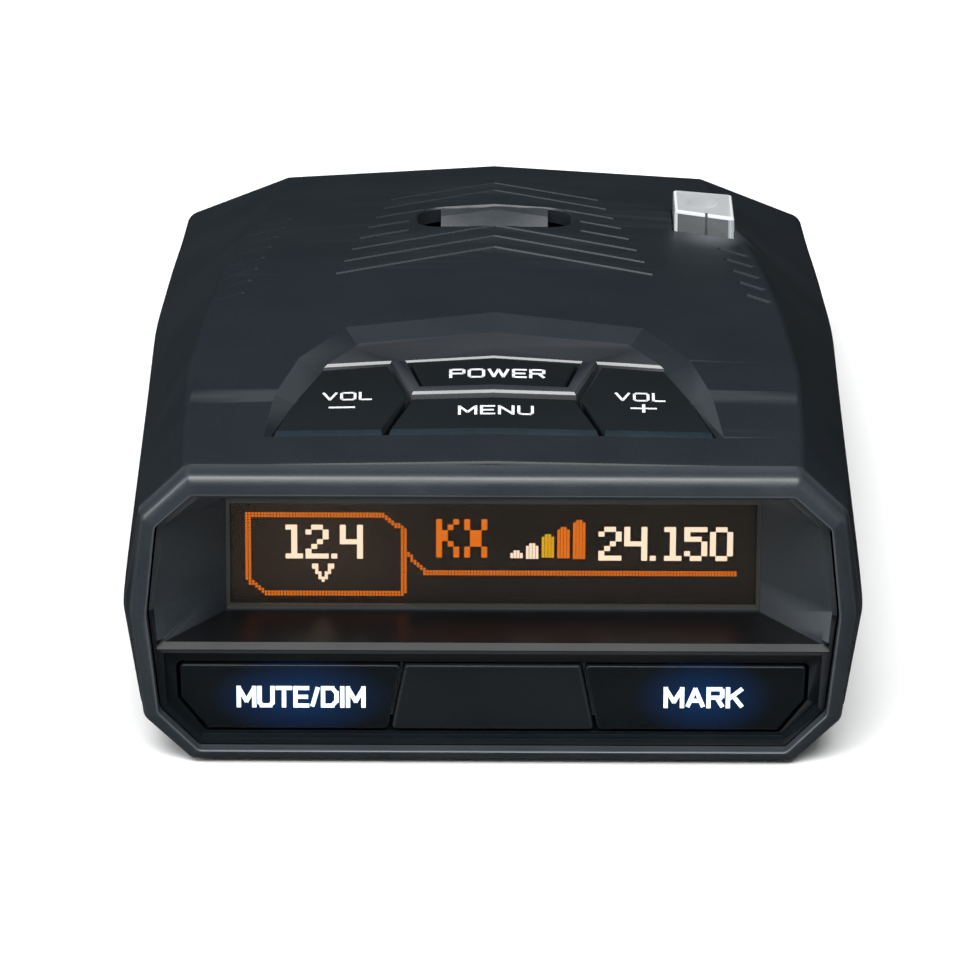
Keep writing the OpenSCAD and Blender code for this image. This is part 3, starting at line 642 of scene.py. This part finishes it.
def vent(side, i):
    ln = 3.25 + 0.19 * i
    cx, cd, a = side * (27.8 - 0.55 * i), 45.3 + 4.05 * i, math.radians(-43 * side)
    # inner end, far side: both slope, so that they catch the light
    def ring(lift, grow_far, grow_in):
        pts = []
        for u, v in ((-0.5 * ln, -0.34), (0.5 * ln, -0.34), (0.5 * ln, 0.06), (-0.5 * ln, 0.06)):
            if u * -side > 0:
                u += -side * grow_in
            if v > 0:
                v += grow_far
            x, d = cx + u * math.cos(a) - v * math.sin(a), cd + u * math.sin(a) + v * math.cos(a)
            pts.append((x, d, roof(x, d) + lift))
        return pts
    return loft("v", [ring(-2.6, -0.02, -0.02), ring(-0.34, 0.0, 0.0), ring(-0.01, 0.27, 0.25), ring(0.7, 0.85, 0.78)])


def rounded(hw, d0, d1, r, seg=6):
    return fillet([(-hw, d0), (hw, d0), (hw, d1), (-hw, d1)], r, seg)


slot_o = rounded(8.3, 68.7, 77.6, 3)
slot_hi = offset(slot_o, -1.0)
slot_ring = [[(x, d, 20) for x, d in slot_o], [(x, d, roof(x, d) - 0.2) for x, d in slot_o],
             [(p[0], p[1], roof(*q) + 0.8) for p, q in zip(slot_hi, slot_o)]]
cut(shell, loft("slot", slot_ring))
cutters = []
for i in range(8):
    cutters += groove(i)
cut(shell, joined("grooves", cutters))
for i in range(8):
    cut(shell, vent(-1, i))
    if i < 5:
        cut(shell, vent(1, i))
cut(shell, prism_z("l", [(19.15, 69.65), (26.05, 67.2), (26.05, 79.4), (19.15, 80.45)], 18, 40))

# sockets, rear window, screw wells and label recess in the lower cover
low = [block("c", -40, -32, 52.2, 63, 4.45, 11.9), block("c", -40, -32, 31.5, 40.1, 4.45, 8.7),
       block("c", 19, 31, 98, 112, 3.6, 10.6), prism_z("c", rounded(18, 36, 66, 1.2), -1, 0.3)]
low.append(loft("c", [[(x, 44 + 3.3 * math.cos(k * math.pi / 24), 8 + 3.3 * math.sin(k * math.pi / 24)) for k in range(48)]
                      for x in (-40, -32)]))
for px, pd in ((-30, 17), (30, 17), (-27.5, 93), (27.5, 93)):
    low.append(prism_z("c", [(px + 2.3 * math.cos(k * math.pi / 20), pd + 2.3 * math.sin(k * math.pi / 20)) for k in range(40)], -1, 3))
cut(lower, joined("low", low))
done(shell, M["shell"], rep=["top_cover"], sharp=19,
     crease=lambda x, d, z: 8.5 < d < 38.7 and abs(x) < 23.8 and z > 32.2)
# faces of the pad's rear wall take the lighter copy of the cover plastic: painted light
shell.data.materials.append(M["wall"])
for f in shell.data.polygons:
    x, d, z = f.center.x * 1000, f.center.y * 1000 + HALF, f.center.z * 1000
    if 24 < d < 38.5 and abs(x) < 19 and 32.3 < z < roof(x, d) - 0.05 and f.normal.y < -0.15:
        f.material_index = 1
shell.name = "top_shell"
done(lower, M["shell_low"], rep=["bottom_cover"], sharp=19)
lower.name = "bottom_shell"

# ------------------------------------------------------------------ front rim
rim_half = [(31, 32.7), (35.8, 27.9), (37.1, 17), (35.7, 5), (30.8, 0.15)]
rim_in_half = [(30.5, 30.6), (34.25, 27), (35.25, 17), (34.1, 5.9), (30.05, 1.65)]
rad = [1.1, 1.6, 6, 1.6, 1.2]
ro = fillet(both(rim_half), rad + rad[::-1], 5)
ri = fillet(both(rim_in_half), [0.7, 1.0, 5, 1.0, 0.8] + [0.8, 1.0, 5, 1.0, 0.7], 5)


def at(pts, d, t=0.0):
    q = offset(pts, t) if t else pts
    return [(p[0], d, p[1]) for p in q]


rim = loft("front_rim", [at(ro, 3.34, 0.12), at(ro, 3.2), at(ro, 1.5), at(ro, 1.12, 0.05), at(ro, 0.82, 0.2), at(ro, 0.6, 0.42),
                         at(ro, 0.42, 0.72), at(ro, 0.24, 1.06), at(ri, 0.06, -0.26), at(ri, 0.02, -0.12), at(ri, 0.1, -0.02), at(ri, 0.3),
                         at(ri, 3.3), at(ri, 3.34, -0.1)], closed=True)
done(rim, M["rim"], rep=["front_bezel"], sharp=50)

# ------------------------------------------------------------------ hood behind the rim
hood_half = [(30.35, 30.4), (34.05, 26.9), (35.05, 17), (33.9, 6), (29.95, 1.8)]
hood = prism_d("hood", fillet(both(hood_half), [0.6, 0.9, 5, 0.9, 0.7] + [0.7, 0.9, 5, 0.9, 0.6], 4), 1.25, 11.4)
wedge = loft("c", [[(x, 4.0, 31.02), (x, 9.4, 27.2), (x, 14, 27.2), (x, 14, 34), (x, 4.0, 34)] for x in (-40, 40)])
cut(hood, wedge)
A = [(29.9, 29.85), (33.4, 26.6), (34.55, 17.3), (34.2, 13.1)]
B = [(27.4, 26.1), (27.42, 25.2), (27.44, 16.7), (27.4, 13.1)]
lens_in = [(a[0] + (a[0] - b[0]) * 0.05, a[1] + (a[1] - b[1]) * 0.05) if i < 3 else (a[0] + (a[0] - b[0]) * 0.05, 13.1) for i, (a, b) in enumerate(zip(A, B))]
cut(hood, loft("c", [at(both(lens_in), 0.8), at(both(B), 9.2)]))
cut(hood, block("c", -27.3, 27.3, 8, 13, 13.3, 25.5))
cut(hood, block("c", -28.1, 28.1, 9.5, 13, 12.6, 26.2))
cut(hood, prism_d("c", both([(33.6, 12.2), (33.3, 6.2), (29.7, 2.4)]), 0.5, 2.4))
cut(hood, prism_d("c", fillet(both([(32.35, 10.7), (32.25, 6.5), (29.4, 2.7)]), [0.5, 0.5, 0.4, 0.4, 0.5, 0.5], 3), 0.5, 14))
cut(hood, loft("c", [[(x, 1.0, 12.45), (x, 2.05, 13.12), (x, 2.05, 13.6), (x, 1.0, 13.6)] for x in (-34.3, 34.3)]))
soften(hood, 0.2, 3, 28)
done(hood, M["hood"], rep=["display_hood"], sharp=40)
hood.data.materials.append(M["hood_wall_painted_light"])
hood.data.materials.append(M["shelf"])
hood.data.materials.append(M["hood_low"])
# inner side walls of the hood take the lighter copies of the hood plastic (painted light); flat faces at the shelf take
# the shelf material
for f in hood.data.polygons:
    c, nrm = f.center * 1000, f.normal
    if c.z > 13.3 and c.y + HALF < 9.4 and abs(c.x) < 34.7 and c.z < 30:
        f.material_index = 3 if c.z < 17.0 else 1
    elif nrm.z > 0.8 and 12.9 < c.z < 13.2:
        f.material_index = 2

# ------------------------------------------------------------------ front keys and centre panel
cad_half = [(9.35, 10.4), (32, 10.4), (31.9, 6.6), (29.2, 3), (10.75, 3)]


def front_piece(name, pts, rads, mat, body, rep, d0, d1, flange):
    o = fillet(pts, rads, 3)
    rings = [at(flange, 4.95), at(flange, 4.32)] if flange else []
    ob = loft(name, [at(o, d1), at(o, d0 + 0.32), at(o, d0 + 0.14, 0.05), at(o, d0 + 0.04, 0.16), at(o, d0, 0.32)])
    return done(ob, mat, body=body, rep=rep, sharp=50)


front_piece("mark_key_cap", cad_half, [0.5, 0.4, 0.4, 0.4, 0.5], M["mark"], "mark_key", ["mark_button"], 2.22, 4.9, None)
front_piece("mute_key_cap", [(-x, z) for x, z in reversed(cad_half)], [0.5, 0.4, 0.4, 0.4, 0.5], M["mute"], "mute_key",
            ["mute_button"], 2.22, 4.9, None)
front_piece("centre_plate", [(8.95, 10.4), (-8.95, 10.4), (-10.35, 3), (10.35, 3)], 0.35, M["panel"], "housing",
            ["centre_panel"], 2.2, 4.7, None)


# ------------------------------------------------------------------ top keys
def key_z(x, d):
    return 33.42 + math.tan(math.radians(1.35)) * (d - 9.3) - 0.02 * abs(x)


def frame_z(x, d):
    return 34.0 - 0.02 * abs(x) - 0.014 * (d - 18) - 0.105 * max(0, d - 25.5)


def cap_key(name, pts, body, rep, front_d, lip):
    """Key with eased edges and a wide chamfer along its front edge."""
    area = sum(pts[i][0] * pts[(i + 1) % len(pts)][1] - pts[(i + 1) % len(pts)][0] * pts[i][1] for i in range(len(pts)))
    if area < 0:
        pts = pts[::-1]
    inner = offset(pts, 0.28)
    mid_ = offset(pts, 0.08)
    top, rim_, low_ = [], [], []
    for p, q, c in zip(pts, inner, mid_):
        isf = abs(p[1] - front_d) < 0.02
        if isf and lip:
            q = (q[0], p[1] + lip)
            c = (c[0], p[1] + 0.1)
        top.append((q[0], q[1], key_z(q[0], q[1])))
        dz = 0.34 if isf and lip else 0.1
        rim_.append((c[0], c[1], key_z(c[0], c[1]) - dz))
        low_.append((p[0], p[1], key_z(p[0], p[1]) - (0.55 if isf and lip else 0.32)))
    base = [(p[0], p[1], 30.35) for p in pts]
    ob = split_cap(name, [base, low_, rim_, top])
    soften(ob, 0.07, 2, 25)
    done(ob, M["key"], body=body, rep=rep, sharp=45)
    if lip:
        # front chamfer faces take the lighter copy of the key plastic: painted highlight
        ob.data.materials.append(M["key_lip"])
        for f in ob.data.polygons:
            if f.center.y * 1000 + HALF < front_d + lip and f.normal.z > 0.75 and f.normal.y < -0.1:
                f.material_index = 1
    return ob


vol = [(17.7, 24.1), (10.95, 24.9), (8.8, 17.4), (11.3, 9.4), (22.55, 9.4), (20.2, 17.6)]
cap_key("volume_up_cap", vol, "volume_up_key", ["volume_up_button"], 9.4, 0.95)
cap_key("volume_down_cap", [(-x, d) for x, d in vol], "volume_down_key", ["volume_down_button"], 9.4, 0.95)
cap_key("menu_cap", [(8.4, 17.3), (0, 17.5), (-8.4, 17.3), (-10.85, 9.4), (0, 9.4), (10.85, 9.4)], "menu_key", ["menu_button"], 9.4, 0.95)
cap_key("power_cap", [(8.6, 25.3), (0, 26.4), (-8.6, 25.3), (-7.25, 19.7), (0, 20), (7.25, 19.7)], "power_key", ["power_button"], -1, 0)

FOLDS = ((P(0, 0, 0), (1, 0, 0)), (P(0, 25.5, 0), (0, 1, 0)), (P(0, 30, 0), (0, 1, 0)))


def split_along(ob, planes):
    m = bmesh.new()
    m.from_mesh(ob.data)
    for co, no in planes:
        bmesh.ops.bisect_plane(m, geom=m.verts[:] + m.edges[:] + m.faces[:], plane_co=co, plane_no=no, dist=1e-7)
    m.to_mesh(ob.data)
    m.free()


# frame around the POWER key, with lips that catch the light
fo = [(0, 34.9), (14.05, 31.8), (17.6, 24.75), (10.75, 25.45), (8.45, 17.8), (0, 18.0),
      (-8.45, 17.8), (-10.75, 25.45), (-17.6, 24.75), (-14.05, 31.8)]
fin = offset(fo, 0.26)
fm = offset(fo, 0.05)
kf = loft("key_frame", [[(x, d, -2.3) for x, d in fo], [(x, d, -0.3) for x, d in fo], [(x, d, -0.24) for x, d in fm], [(x, d, 0) for x, d in fin]])
split_along(kf, FOLDS)
ho = [(8.95, 25.6), (0, 26.75), (-8.95, 25.6), (-7.5, 19.4), (0, 19.7), (7.5, 19.4)]
hi = offset(ho, -0.2)
h2 = offset(ho, -1.0)
cut(kf, loft("c", [[(x, d, -8) for x, d in ho], [(x, d, -0.2) for x, d in ho], [(x, d, 0.02) for x, d in hi], [(x, d, 0.8) for x, d in h2]]))
bm = bmesh.new()
bm.from_mesh(kf.data)
bmesh.ops.triangulate(bm, faces=[f for f in bm.faces if len(f.verts) > 4])
bm.to_mesh(kf.data)
bm.free()
bm = bmesh.new()
bm.from_mesh(kf.data)
for v in bm.verts:
    v.co.z += frame_z(v.co.x * 1000, v.co.y * 1000 + HALF) / 1000
bm.to_mesh(kf.data)
bm.free()
done(kf, M["keyframe"], rep=["top_key_frame"], sharp=45)

# ------------------------------------------------------------------ tongue in the bracket slot
rings = []
for x in (-5.8, -5.75, -2.9, 0, 2.9, 5.75, 5.8):
    k = 0.5 * abs(x)
    e_ = 0.12 if abs(x) > 5.77 else 0.0
    rings.append([(x, 73.1 + e_, 22.6), (x, 73.1 + e_, 27.35 - e_), (x, 75.5 - k * 0.45, 28.25 - 0.045 * abs(x) - e_),
                  (x, 76.9 - k * 0.3, 28.0 - 0.045 * abs(x) - e_), (x, 78.6, 27.2), (x, 78.6, 22.6)])
tongue = loft("bracket_tongue", rings)
soften(tongue, 0.1, 2, 25)
done(tongue, M["tongue"], sharp=45)

# ------------------------------------------------------------------ clear sensor block on the roof
lc = [(19.4, 69.85), (25.8, 67.45), (25.8, 79.15), (19.4, 80.15)]
lo = fillet(lc, [0.5, 0.5, 0.4, 0.4], 4)
li = offset(lo, 0.35)
lens = loft("sensor_block", [[(x, d, roof(x, d) - 3.6) for x, d in lo], [(x, d, roof(x, d) + 2.05) for x, d in lo],
                             [(x, d, roof(x, d) + 2.3) for x, d in offset(lo, 0.1)], [(x, d, roof(x, d) + 2.4) for x, d in li]])
dish = []
for k, (r, dep) in enumerate(((2.55, 0.7), (2.1, 0.1), (1.5, -0.25), (0.9, -0.5), (0.35, -0.62))):
    dish.append([(22.5 + r * math.cos(a * math.pi / 12), 74.6 + 1.55 * r * math.sin(a * math.pi / 12),
                  roof(22.5, 74.6) + 2.4 + dep - 0.19 * 1.55 * r * math.sin(a * math.pi / 12)) for a in range(24)])
cut(lens, loft("c", dish))
cut(lens, prism_z("c", [(22.66, 60), (22.94, 60), (22.94, 69.3), (22.66, 69.3)], 20, 40))
done(lens, M["lens"], rep=["laser_lens"], sharp=30)
lens.data.materials.append(M["lens_edge"])
# chamfers and small faces of the block take the pale copy: painted highlight on its edges
for f in lens.data.polygons:
    x, d = f.center.x * 1000, f.center.y * 1000 + HALF
    if (0.22 < f.normal.z < 0.93 or f.area < 0.9e-6) and not (abs(x - 22.5) < 2.75 and abs(d - 74.6) < 4.2):
        f.material_index = 1


# ------------------------------------------------------------------ lettering and signs
LETTERS = {
    "P": (1.0, [[(0, 0), (0, 1), (.85, 1), (1, .9), (1, .58), (.85, .48), (0, .48)]]),
    "O": (1.1, [[(.16, 0), (.84, 0), (1, .16), (1, .84), (.84, 1), (.16, 1), (0, .84), (0, .16), (.16, 0)]]),
    "W": (1.45, [[(0, 1), (.25, 0), (.5, 1), (.75, 0), (1, 1)]]),
    "E": (.9, [[(1, 1), (0, 1), (0, 0), (1, 0)], [(0, .5), (.9, .5)]]),
    "R": (1.0, [[(0, 0), (0, 1), (.85, 1), (1, .9), (1, .6), (.85, .5), (0, .5)], [(.6, .5), (1, 0)]]),
    "M": (1.2, [[(0, 0), (0, 1), (.5, .25), (1, 1), (1, 0)]]),
    "N": (1.0, [[(0, 0), (0, 1), (1, 0), (1, 1)]]),
    "U": (1.0, [[(0, 1), (0, .18), (.18, 0), (.82, 0), (1, .18), (1, 1)]]),
    "V": (1.05, [[(0, 1), (.5, 0), (1, 1)]]),
    "L": (.85, [[(0, 1), (0, 0), (1, 0)]]),
    "T": (.95, [[(0, 1), (1, 1)], [(.5, 1), (.5, 0)]]),
    "D": (1.05, [[(0, 0), (0, 1), (.68, 1), (1, .72), (1, .28), (.68, 0), (0, 0)]]),
    "I": (.05, [[(.5, 0), (.5, 1)]]),
    "A": (1.1, [[(0, 0), (.5, 1), (1, 0)], [(.2, .32), (.8, .32)]]),
    "K": (1.0, [[(0, 0), (0, 1)], [(1, 1), (0, .4)], [(.36, .62), (1, 0)]]),
    "/": (.4, [[(0, 0), (1, 1)]]),
}


def word(s, width, height, thick, space=0.42):
    """Plain stroke lettering that fills width by height, as boxes in that unit square."""
    total = sum(LETTERS[c][0] for c in s) + space * (len(s) - 1)
    k = (width - thick) / total
    vs, fs = [], []
    x = thick / 2
    for c in s:
        w_, lines = LETTERS[c]
        for line in lines:
            for a, b in zip(line, line[1:]):
                a = Vector((x + a[0] * w_ * k, thick / 2 + a[1] * (height - thick)))
                b = Vector((x + b[0] * w_ * k, thick / 2 + b[1] * (height - thick)))
                u = (b - a).normalized()
                v = Vector((-u.y, u.x)) * (thick / 2)
                e_ = 0.5 if min(abs(u.x), abs(u.y)) < 0.01 else 0.22
                a, b = a - u * (thick * e_), b + u * (thick * e_)
                n = len(vs)
                for w2 in (0, 1):
                    vs += [[q.x / width, q.y / height, w2] for q in (a - v, b - v, b + v, a + v)]
                fs += [(n, n + 3, n + 2, n + 1), (n + 4, n + 5, n + 6, n + 7)]
                fs += [(n + j, n + (j + 1) % 4, n + 4 + (j + 1) % 4, n + 4 + j) for j in range(4)]
        x += (w_ + space) * k
    return vs, fs


def on_top(name, s, x0, x1, d0, d1, zf, body, bold=0.36, mat="ink", up=0.02):
    vs, fs = word(s, x1 - x0, d1 - d0, bold) if isinstance(s, str) else s
    verts = []
    for u, v, w in vs:
        x, d = x0 + (x1 - x0) * u, d0 + (d1 - d0) * v
        verts.append((x, d, zf(x, d) + (w * 2 - 1) * up))
    return done(raw(name, verts, fs), M[mat], body=body, weighted=False)


def on_front(name, s, x0, x1, z0, z1, d, body, mat, bold=0.44, up=0.02):
    vs, fs = word(s, x1 - x0, z1 - z0, bold) if isinstance(s, str) else s
    verts = [(x0 + (x1 - x0) * u, d + up - (w * 2 * up), z0 + (z1 - z0) * v) for u, v, w in vs]
    return done(raw(name, verts, fs), M[mat], body=body, weighted=False)


def bar_shape(bars):
    """Boxes in a unit square, as a sign."""
    vs, fs = [], []
    for a0, b0, a1, b1 in bars:
        n = len(vs)
        vs += [[a0, b0, 0], [a1, b0, 0], [a1, b1, 0], [a0, b1, 0], [a0, b0, 1], [a1, b0, 1], [a1, b1, 1], [a0, b1, 1]]
        fs += [(n, n + 3, n + 2, n + 1), (n + 4, n + 5, n + 6, n + 7)] + [(n + k, n + (k + 1) % 4, n + 4 + (k + 1) % 4, n + 4 + k) for k in range(4)]
    return vs, fs


on_top("power_word", "POWER", -4.6, 5.3, 21.75, 23.75, key_z, "power_key", 0.31)
on_top("menu_word", "MENU", -3.65, 4.1, 13.4, 15.4, key_z, "menu_key", 0.29)
on_top("volume_down_word", "VOL", -17.6, -12.5, 17.0, 18.4 + 0.4, key_z, "volume_down_key", 0.27)
on_top("volume_down_sign", bar_shape([(0, 0, 1, 1)]), -16.9, -14.2, 15.25, 15.55, key_z, "volume_down_key")
on_top("volume_up_word", "VOL", 12.4, 17.6, 17.0, 18.9, key_z, "volume_up_key", 0.27)
on_top("volume_up_sign", bar_shape([(0, 0.43, 1, 0.58), (0.44, 0, 0.56, 0.4299), (0.44, 0.5801, 0.56, 1)]), 14.0, 16.7, 14.5, 16.3, key_z, "volume_up_key")
on_front("mute_word", "MUTE/DIM", -26.2, -13.0, 5.5, 7.95, 2.2, "mute_key", "lit_ink")
on_front("mark_word", "MARK", 17.5, 25.7, 5.6, 8.0, 2.2, "mark_key", "lit_ink")

# ------------------------------------------------------------------ read-out behind the window
RD = 11.03


def sx(px):
    return (px - 493.4) / 9.83 * (950 + RD * 0.891) / 950


def sz(py):
    return (717.5 - py) / 8.758


GLYPHS = {
    "0": [".##.", "#..#", "#..#", "#..#", "#..#", "#..#", ".##."], "1": [".##.", "..#.", "..#.", "..#.", "..#.", "..#.", ".###"],
    "2": [".##.", "#..#", "...#", "..#.", ".#..", "#...", "####"], "4": ["#..#", "#..#", "#..#", "####", "...#", "...#", "...#"],
    "5": ["####", "#...", "###.", "...#", "...#", "#..#", ".##."], "K": ["#..#", "#.#.", "##..", "##..", "#.#.", "#..#", "#..#"],
    ".": [".", ".", ".", ".", ".", ".", "#"], "V": ["##...##", "##...##", ".#...#.", ".##.##.", "..#.#..", "..###..", "...#..."],
    "x": ["#..#", "#..#", ".##.", ".##.", ".##.", "#..#", "#..#"],
}
DX, DZ = 3.17, 2.62


def dots(name, cells, mat, hw=0.125, hh=0.115):
    """Separate lit dots at pixel cells (px, py centres)."""
    vs, fs = [], []
    for px, py in cells:
        x, z = sx(px), sz(py)
        n = len(vs)
        for dd in (RD - 0.02, RD + 0.01):
            vs += [(x - hw, dd, z - hh), (x + hw, dd, z - hh), (x + hw, dd, z + hh), (x - hw, dd, z + hh)]
        fs += [(n, n + 1, n + 2, n + 3), (n + 7, n + 6, n + 5, n + 4)] + [(n + k, n + 4 + k, n + 4 + (k + 1) % 4, n + (k + 1) % 4) for k in range(4)]
    return done(raw(name, vs, fs), M[mat], weighted=False)


def glyph_cells(text, px, py, sc=2, fx=0.9, fz=0.92):
    out = []
    for c in text:
        g = GLYPHS[c]
        for r, row in enumerate(g):
            for q, ch in enumerate(row):
                if ch == "#":
                    out += [(px + (q * sc + i) * DX * fx, py + (r * sc + j) * DZ * fz) for i in range(sc) for j in range(sc)]
        px += (len(g[0]) * sc + 1) * DX * fx
    return out


def line_cells(pts, thick=2):
    cells = set()
    for (xa, ya), (xb, yb) in zip(pts, pts[1:]):
        n = int(max(abs(xb - xa) / DX, abs(yb - ya) / DZ)) + 1
        for k in range(n + 1):
            c, r = round((xa + (xb - xa) * k / n) / DX), round((ya + (yb - ya) * k / n) / DZ)
            for j in range(thick):
                cells.add((c + (j if abs(yb - ya) > abs(xb - xa) else 0), r + (0 if abs(yb - ya) > abs(xb - xa) else j)))
    return [(c * DX, r * DZ) for c, r in sorted(cells)]


dots("readout_box", line_cells([(246, 513), (385, 513), (404, 530), (404, 592), (266, 592), (246, 576), (246, 513)]), "dot_orange")
dots("readout_line", line_cells([(408, 552), (426, 570), (734, 570)]), "dot_orange")
dots("readout_volts", glyph_cells("12.4", 282, 526) + glyph_cells("V", 314, 565, 1, 1.0, 1.0), "dot_white", 0.158, 0.14)
dots("readout_band", glyph_cells("K", 438, 520, 2, 0.9, 1.05) + glyph_cells("x", 466, 520, 2, 0.9, 1.05), "dot_orange", 0.15, 0.14)
dots("readout_number", glyph_cells("24.150", 600, 527), "dot_white", 0.158, 0.14)
for k in range(5):
    px, top = 512 + 15.6 * k, 549 - 7.2 * k + (2 if k < 2 else 0)
    cells = [(px + c * DX, top + r * DZ) for c in range(4) for r in range(int((560 - top) / DZ)) if not (r == 0 and c in (0, 3))]
    dots("readout_bar_%d" % (k + 1), cells, ["dot_white", "dot_white", "dot_yellow", "dot_orange", "dot_orange"][k], 0.14, 0.135)

# ------------------------------------------------------------------ finish of the CAD pieces that stay
KEEP = {
    "display_frame": "dispframe", "display_window": "glass", "display_gasket": "foam", "oled_panel": "oled", "display_flex": "flex",
    "light_sensor": "black", "front_keypad": "rubber", "front_key_board": "board", "front_leds": "led", "top_keypad": "rubber",
    "top_key_board": "board", "board_link": "flex", "main_board": "board", "horn_antenna": "cast", "oscillator_board": "board_blue",
    "rf_shield": "tin", "gps_antenna": "ceramic", "speaker": "black", "speaker_wires": "wire", "power_jack": "black",
    "audio_jack": "black", "usb_port": "socket", "laser_sensor": "black", "road_window": "red", "road_laser_sensor": "black",
    "case_screws": "steel", "board_screws": "steel", "mount_pocket": "black", "bracket_clip": "spring", "rating_label": "label",
}
# painted light: a faint warm emission on the panel, strongest around the read-out box on the left
M["oled"] = glow(material("oled_glass", (20, 14, 9), rough=0.35, grain=0.4, bump=0.03, var=0.04, spec=0.3), (1.0, 0.80, 0.64), 0.055,
                 (-18, 11.05, 19.6), (15, 12, 11), 1.2)
for node_name, key in KEEP.items():
    ob = NODES[node_name]
    for s_ in ob.material_slots:
        s_.material = M[key]
    if not ob.material_slots:
        ob.data.materials.append(M[key])

# ------------------------------------------------------------------ floor and light
fm_ = material("floor_paper", (250, 250, 250), rough=0.9, grain=0.8, bump=0.05, var=0.006, rvar=0.02, blotch=60)
fme = bpy.data.meshes.new("floor")
fme.from_pydata([(-6, -6, -0.0002), (6, -6, -0.0002), (6, 6, -0.0002), (-6, 6, -0.0002)], [], [(0, 1, 2, 3)])
floor = bpy.data.objects.new("floor", fme)
bpy.context.collection.objects.link(floor)
fme.materials.append(fm_)
floor.visible_glossy = False


def area(name, loc, target, size, power, colour=(1, 1, 1)):
    ld = bpy.data.lights.new(name, "AREA")
    ld.shape, ld.size, ld.size_y, ld.energy, ld.color = "RECTANGLE", size[0], size[1], power, colour
    ob = bpy.data.objects.new(name, ld)
    bpy.context.collection.objects.link(ob)
    ob.location = loc
    ob.rotation_euler = (Vector(target) - Vector(loc)).to_track_quat("-Z", "Y").to_euler()
    return ob


area("key", (-0.07, -0.60, 1.12), (0, 0, 0), (1.35, 0.8), 33)
area("fill_left", (-1.1, -0.35, 0.5), (0, 0, 0.02), (0.6, 0.6), 6)
area("fill_right", (0.9, -0.9, 0.5), (0, 0, 0.02), (0.5, 0.5), 1.2)
w = bpy.data.worlds.new("world")
bpy.context.scene.world = w
w.use_nodes = True
wn, wl = w.node_tree.nodes, w.node_tree.links
wt, wsp, wz, wx, wm = (wn.new("ShaderNodeTexCoord"), wn.new("ShaderNodeSeparateXYZ"), wn.new("ShaderNodeMapRange"),
                       wn.new("ShaderNodeMapRange"), wn.new("ShaderNodeMath"))
wl.new(wt.outputs["Generated"], wsp.inputs[0])
wz.inputs["From Min"].default_value, wz.inputs["From Max"].default_value = -0.05, 0.55
wz.inputs["To Min"].default_value, wz.inputs["To Max"].default_value = 0.02, 0.10
wx.inputs["From Min"].default_value, wx.inputs["From Max"].default_value = -0.7, 0.7
wx.inputs["To Min"].default_value, wx.inputs["To Max"].default_value = 1.25, 0.55
wl.new(wsp.outputs[2], wz.inputs["Value"])
wl.new(wsp.outputs[0], wx.inputs["Value"])
wm.operation = "MULTIPLY"
wl.new(wz.outputs[0], wm.inputs[0])
wl.new(wx.outputs[0], wm.inputs[1])
wn["Background"].inputs[0].default_value = (0.82, 0.93, 1.0, 1)
wl.new(wm.outputs[0], wn["Background"].inputs[1])
bpy.context.scene.view_settings.view_transform = "Standard"
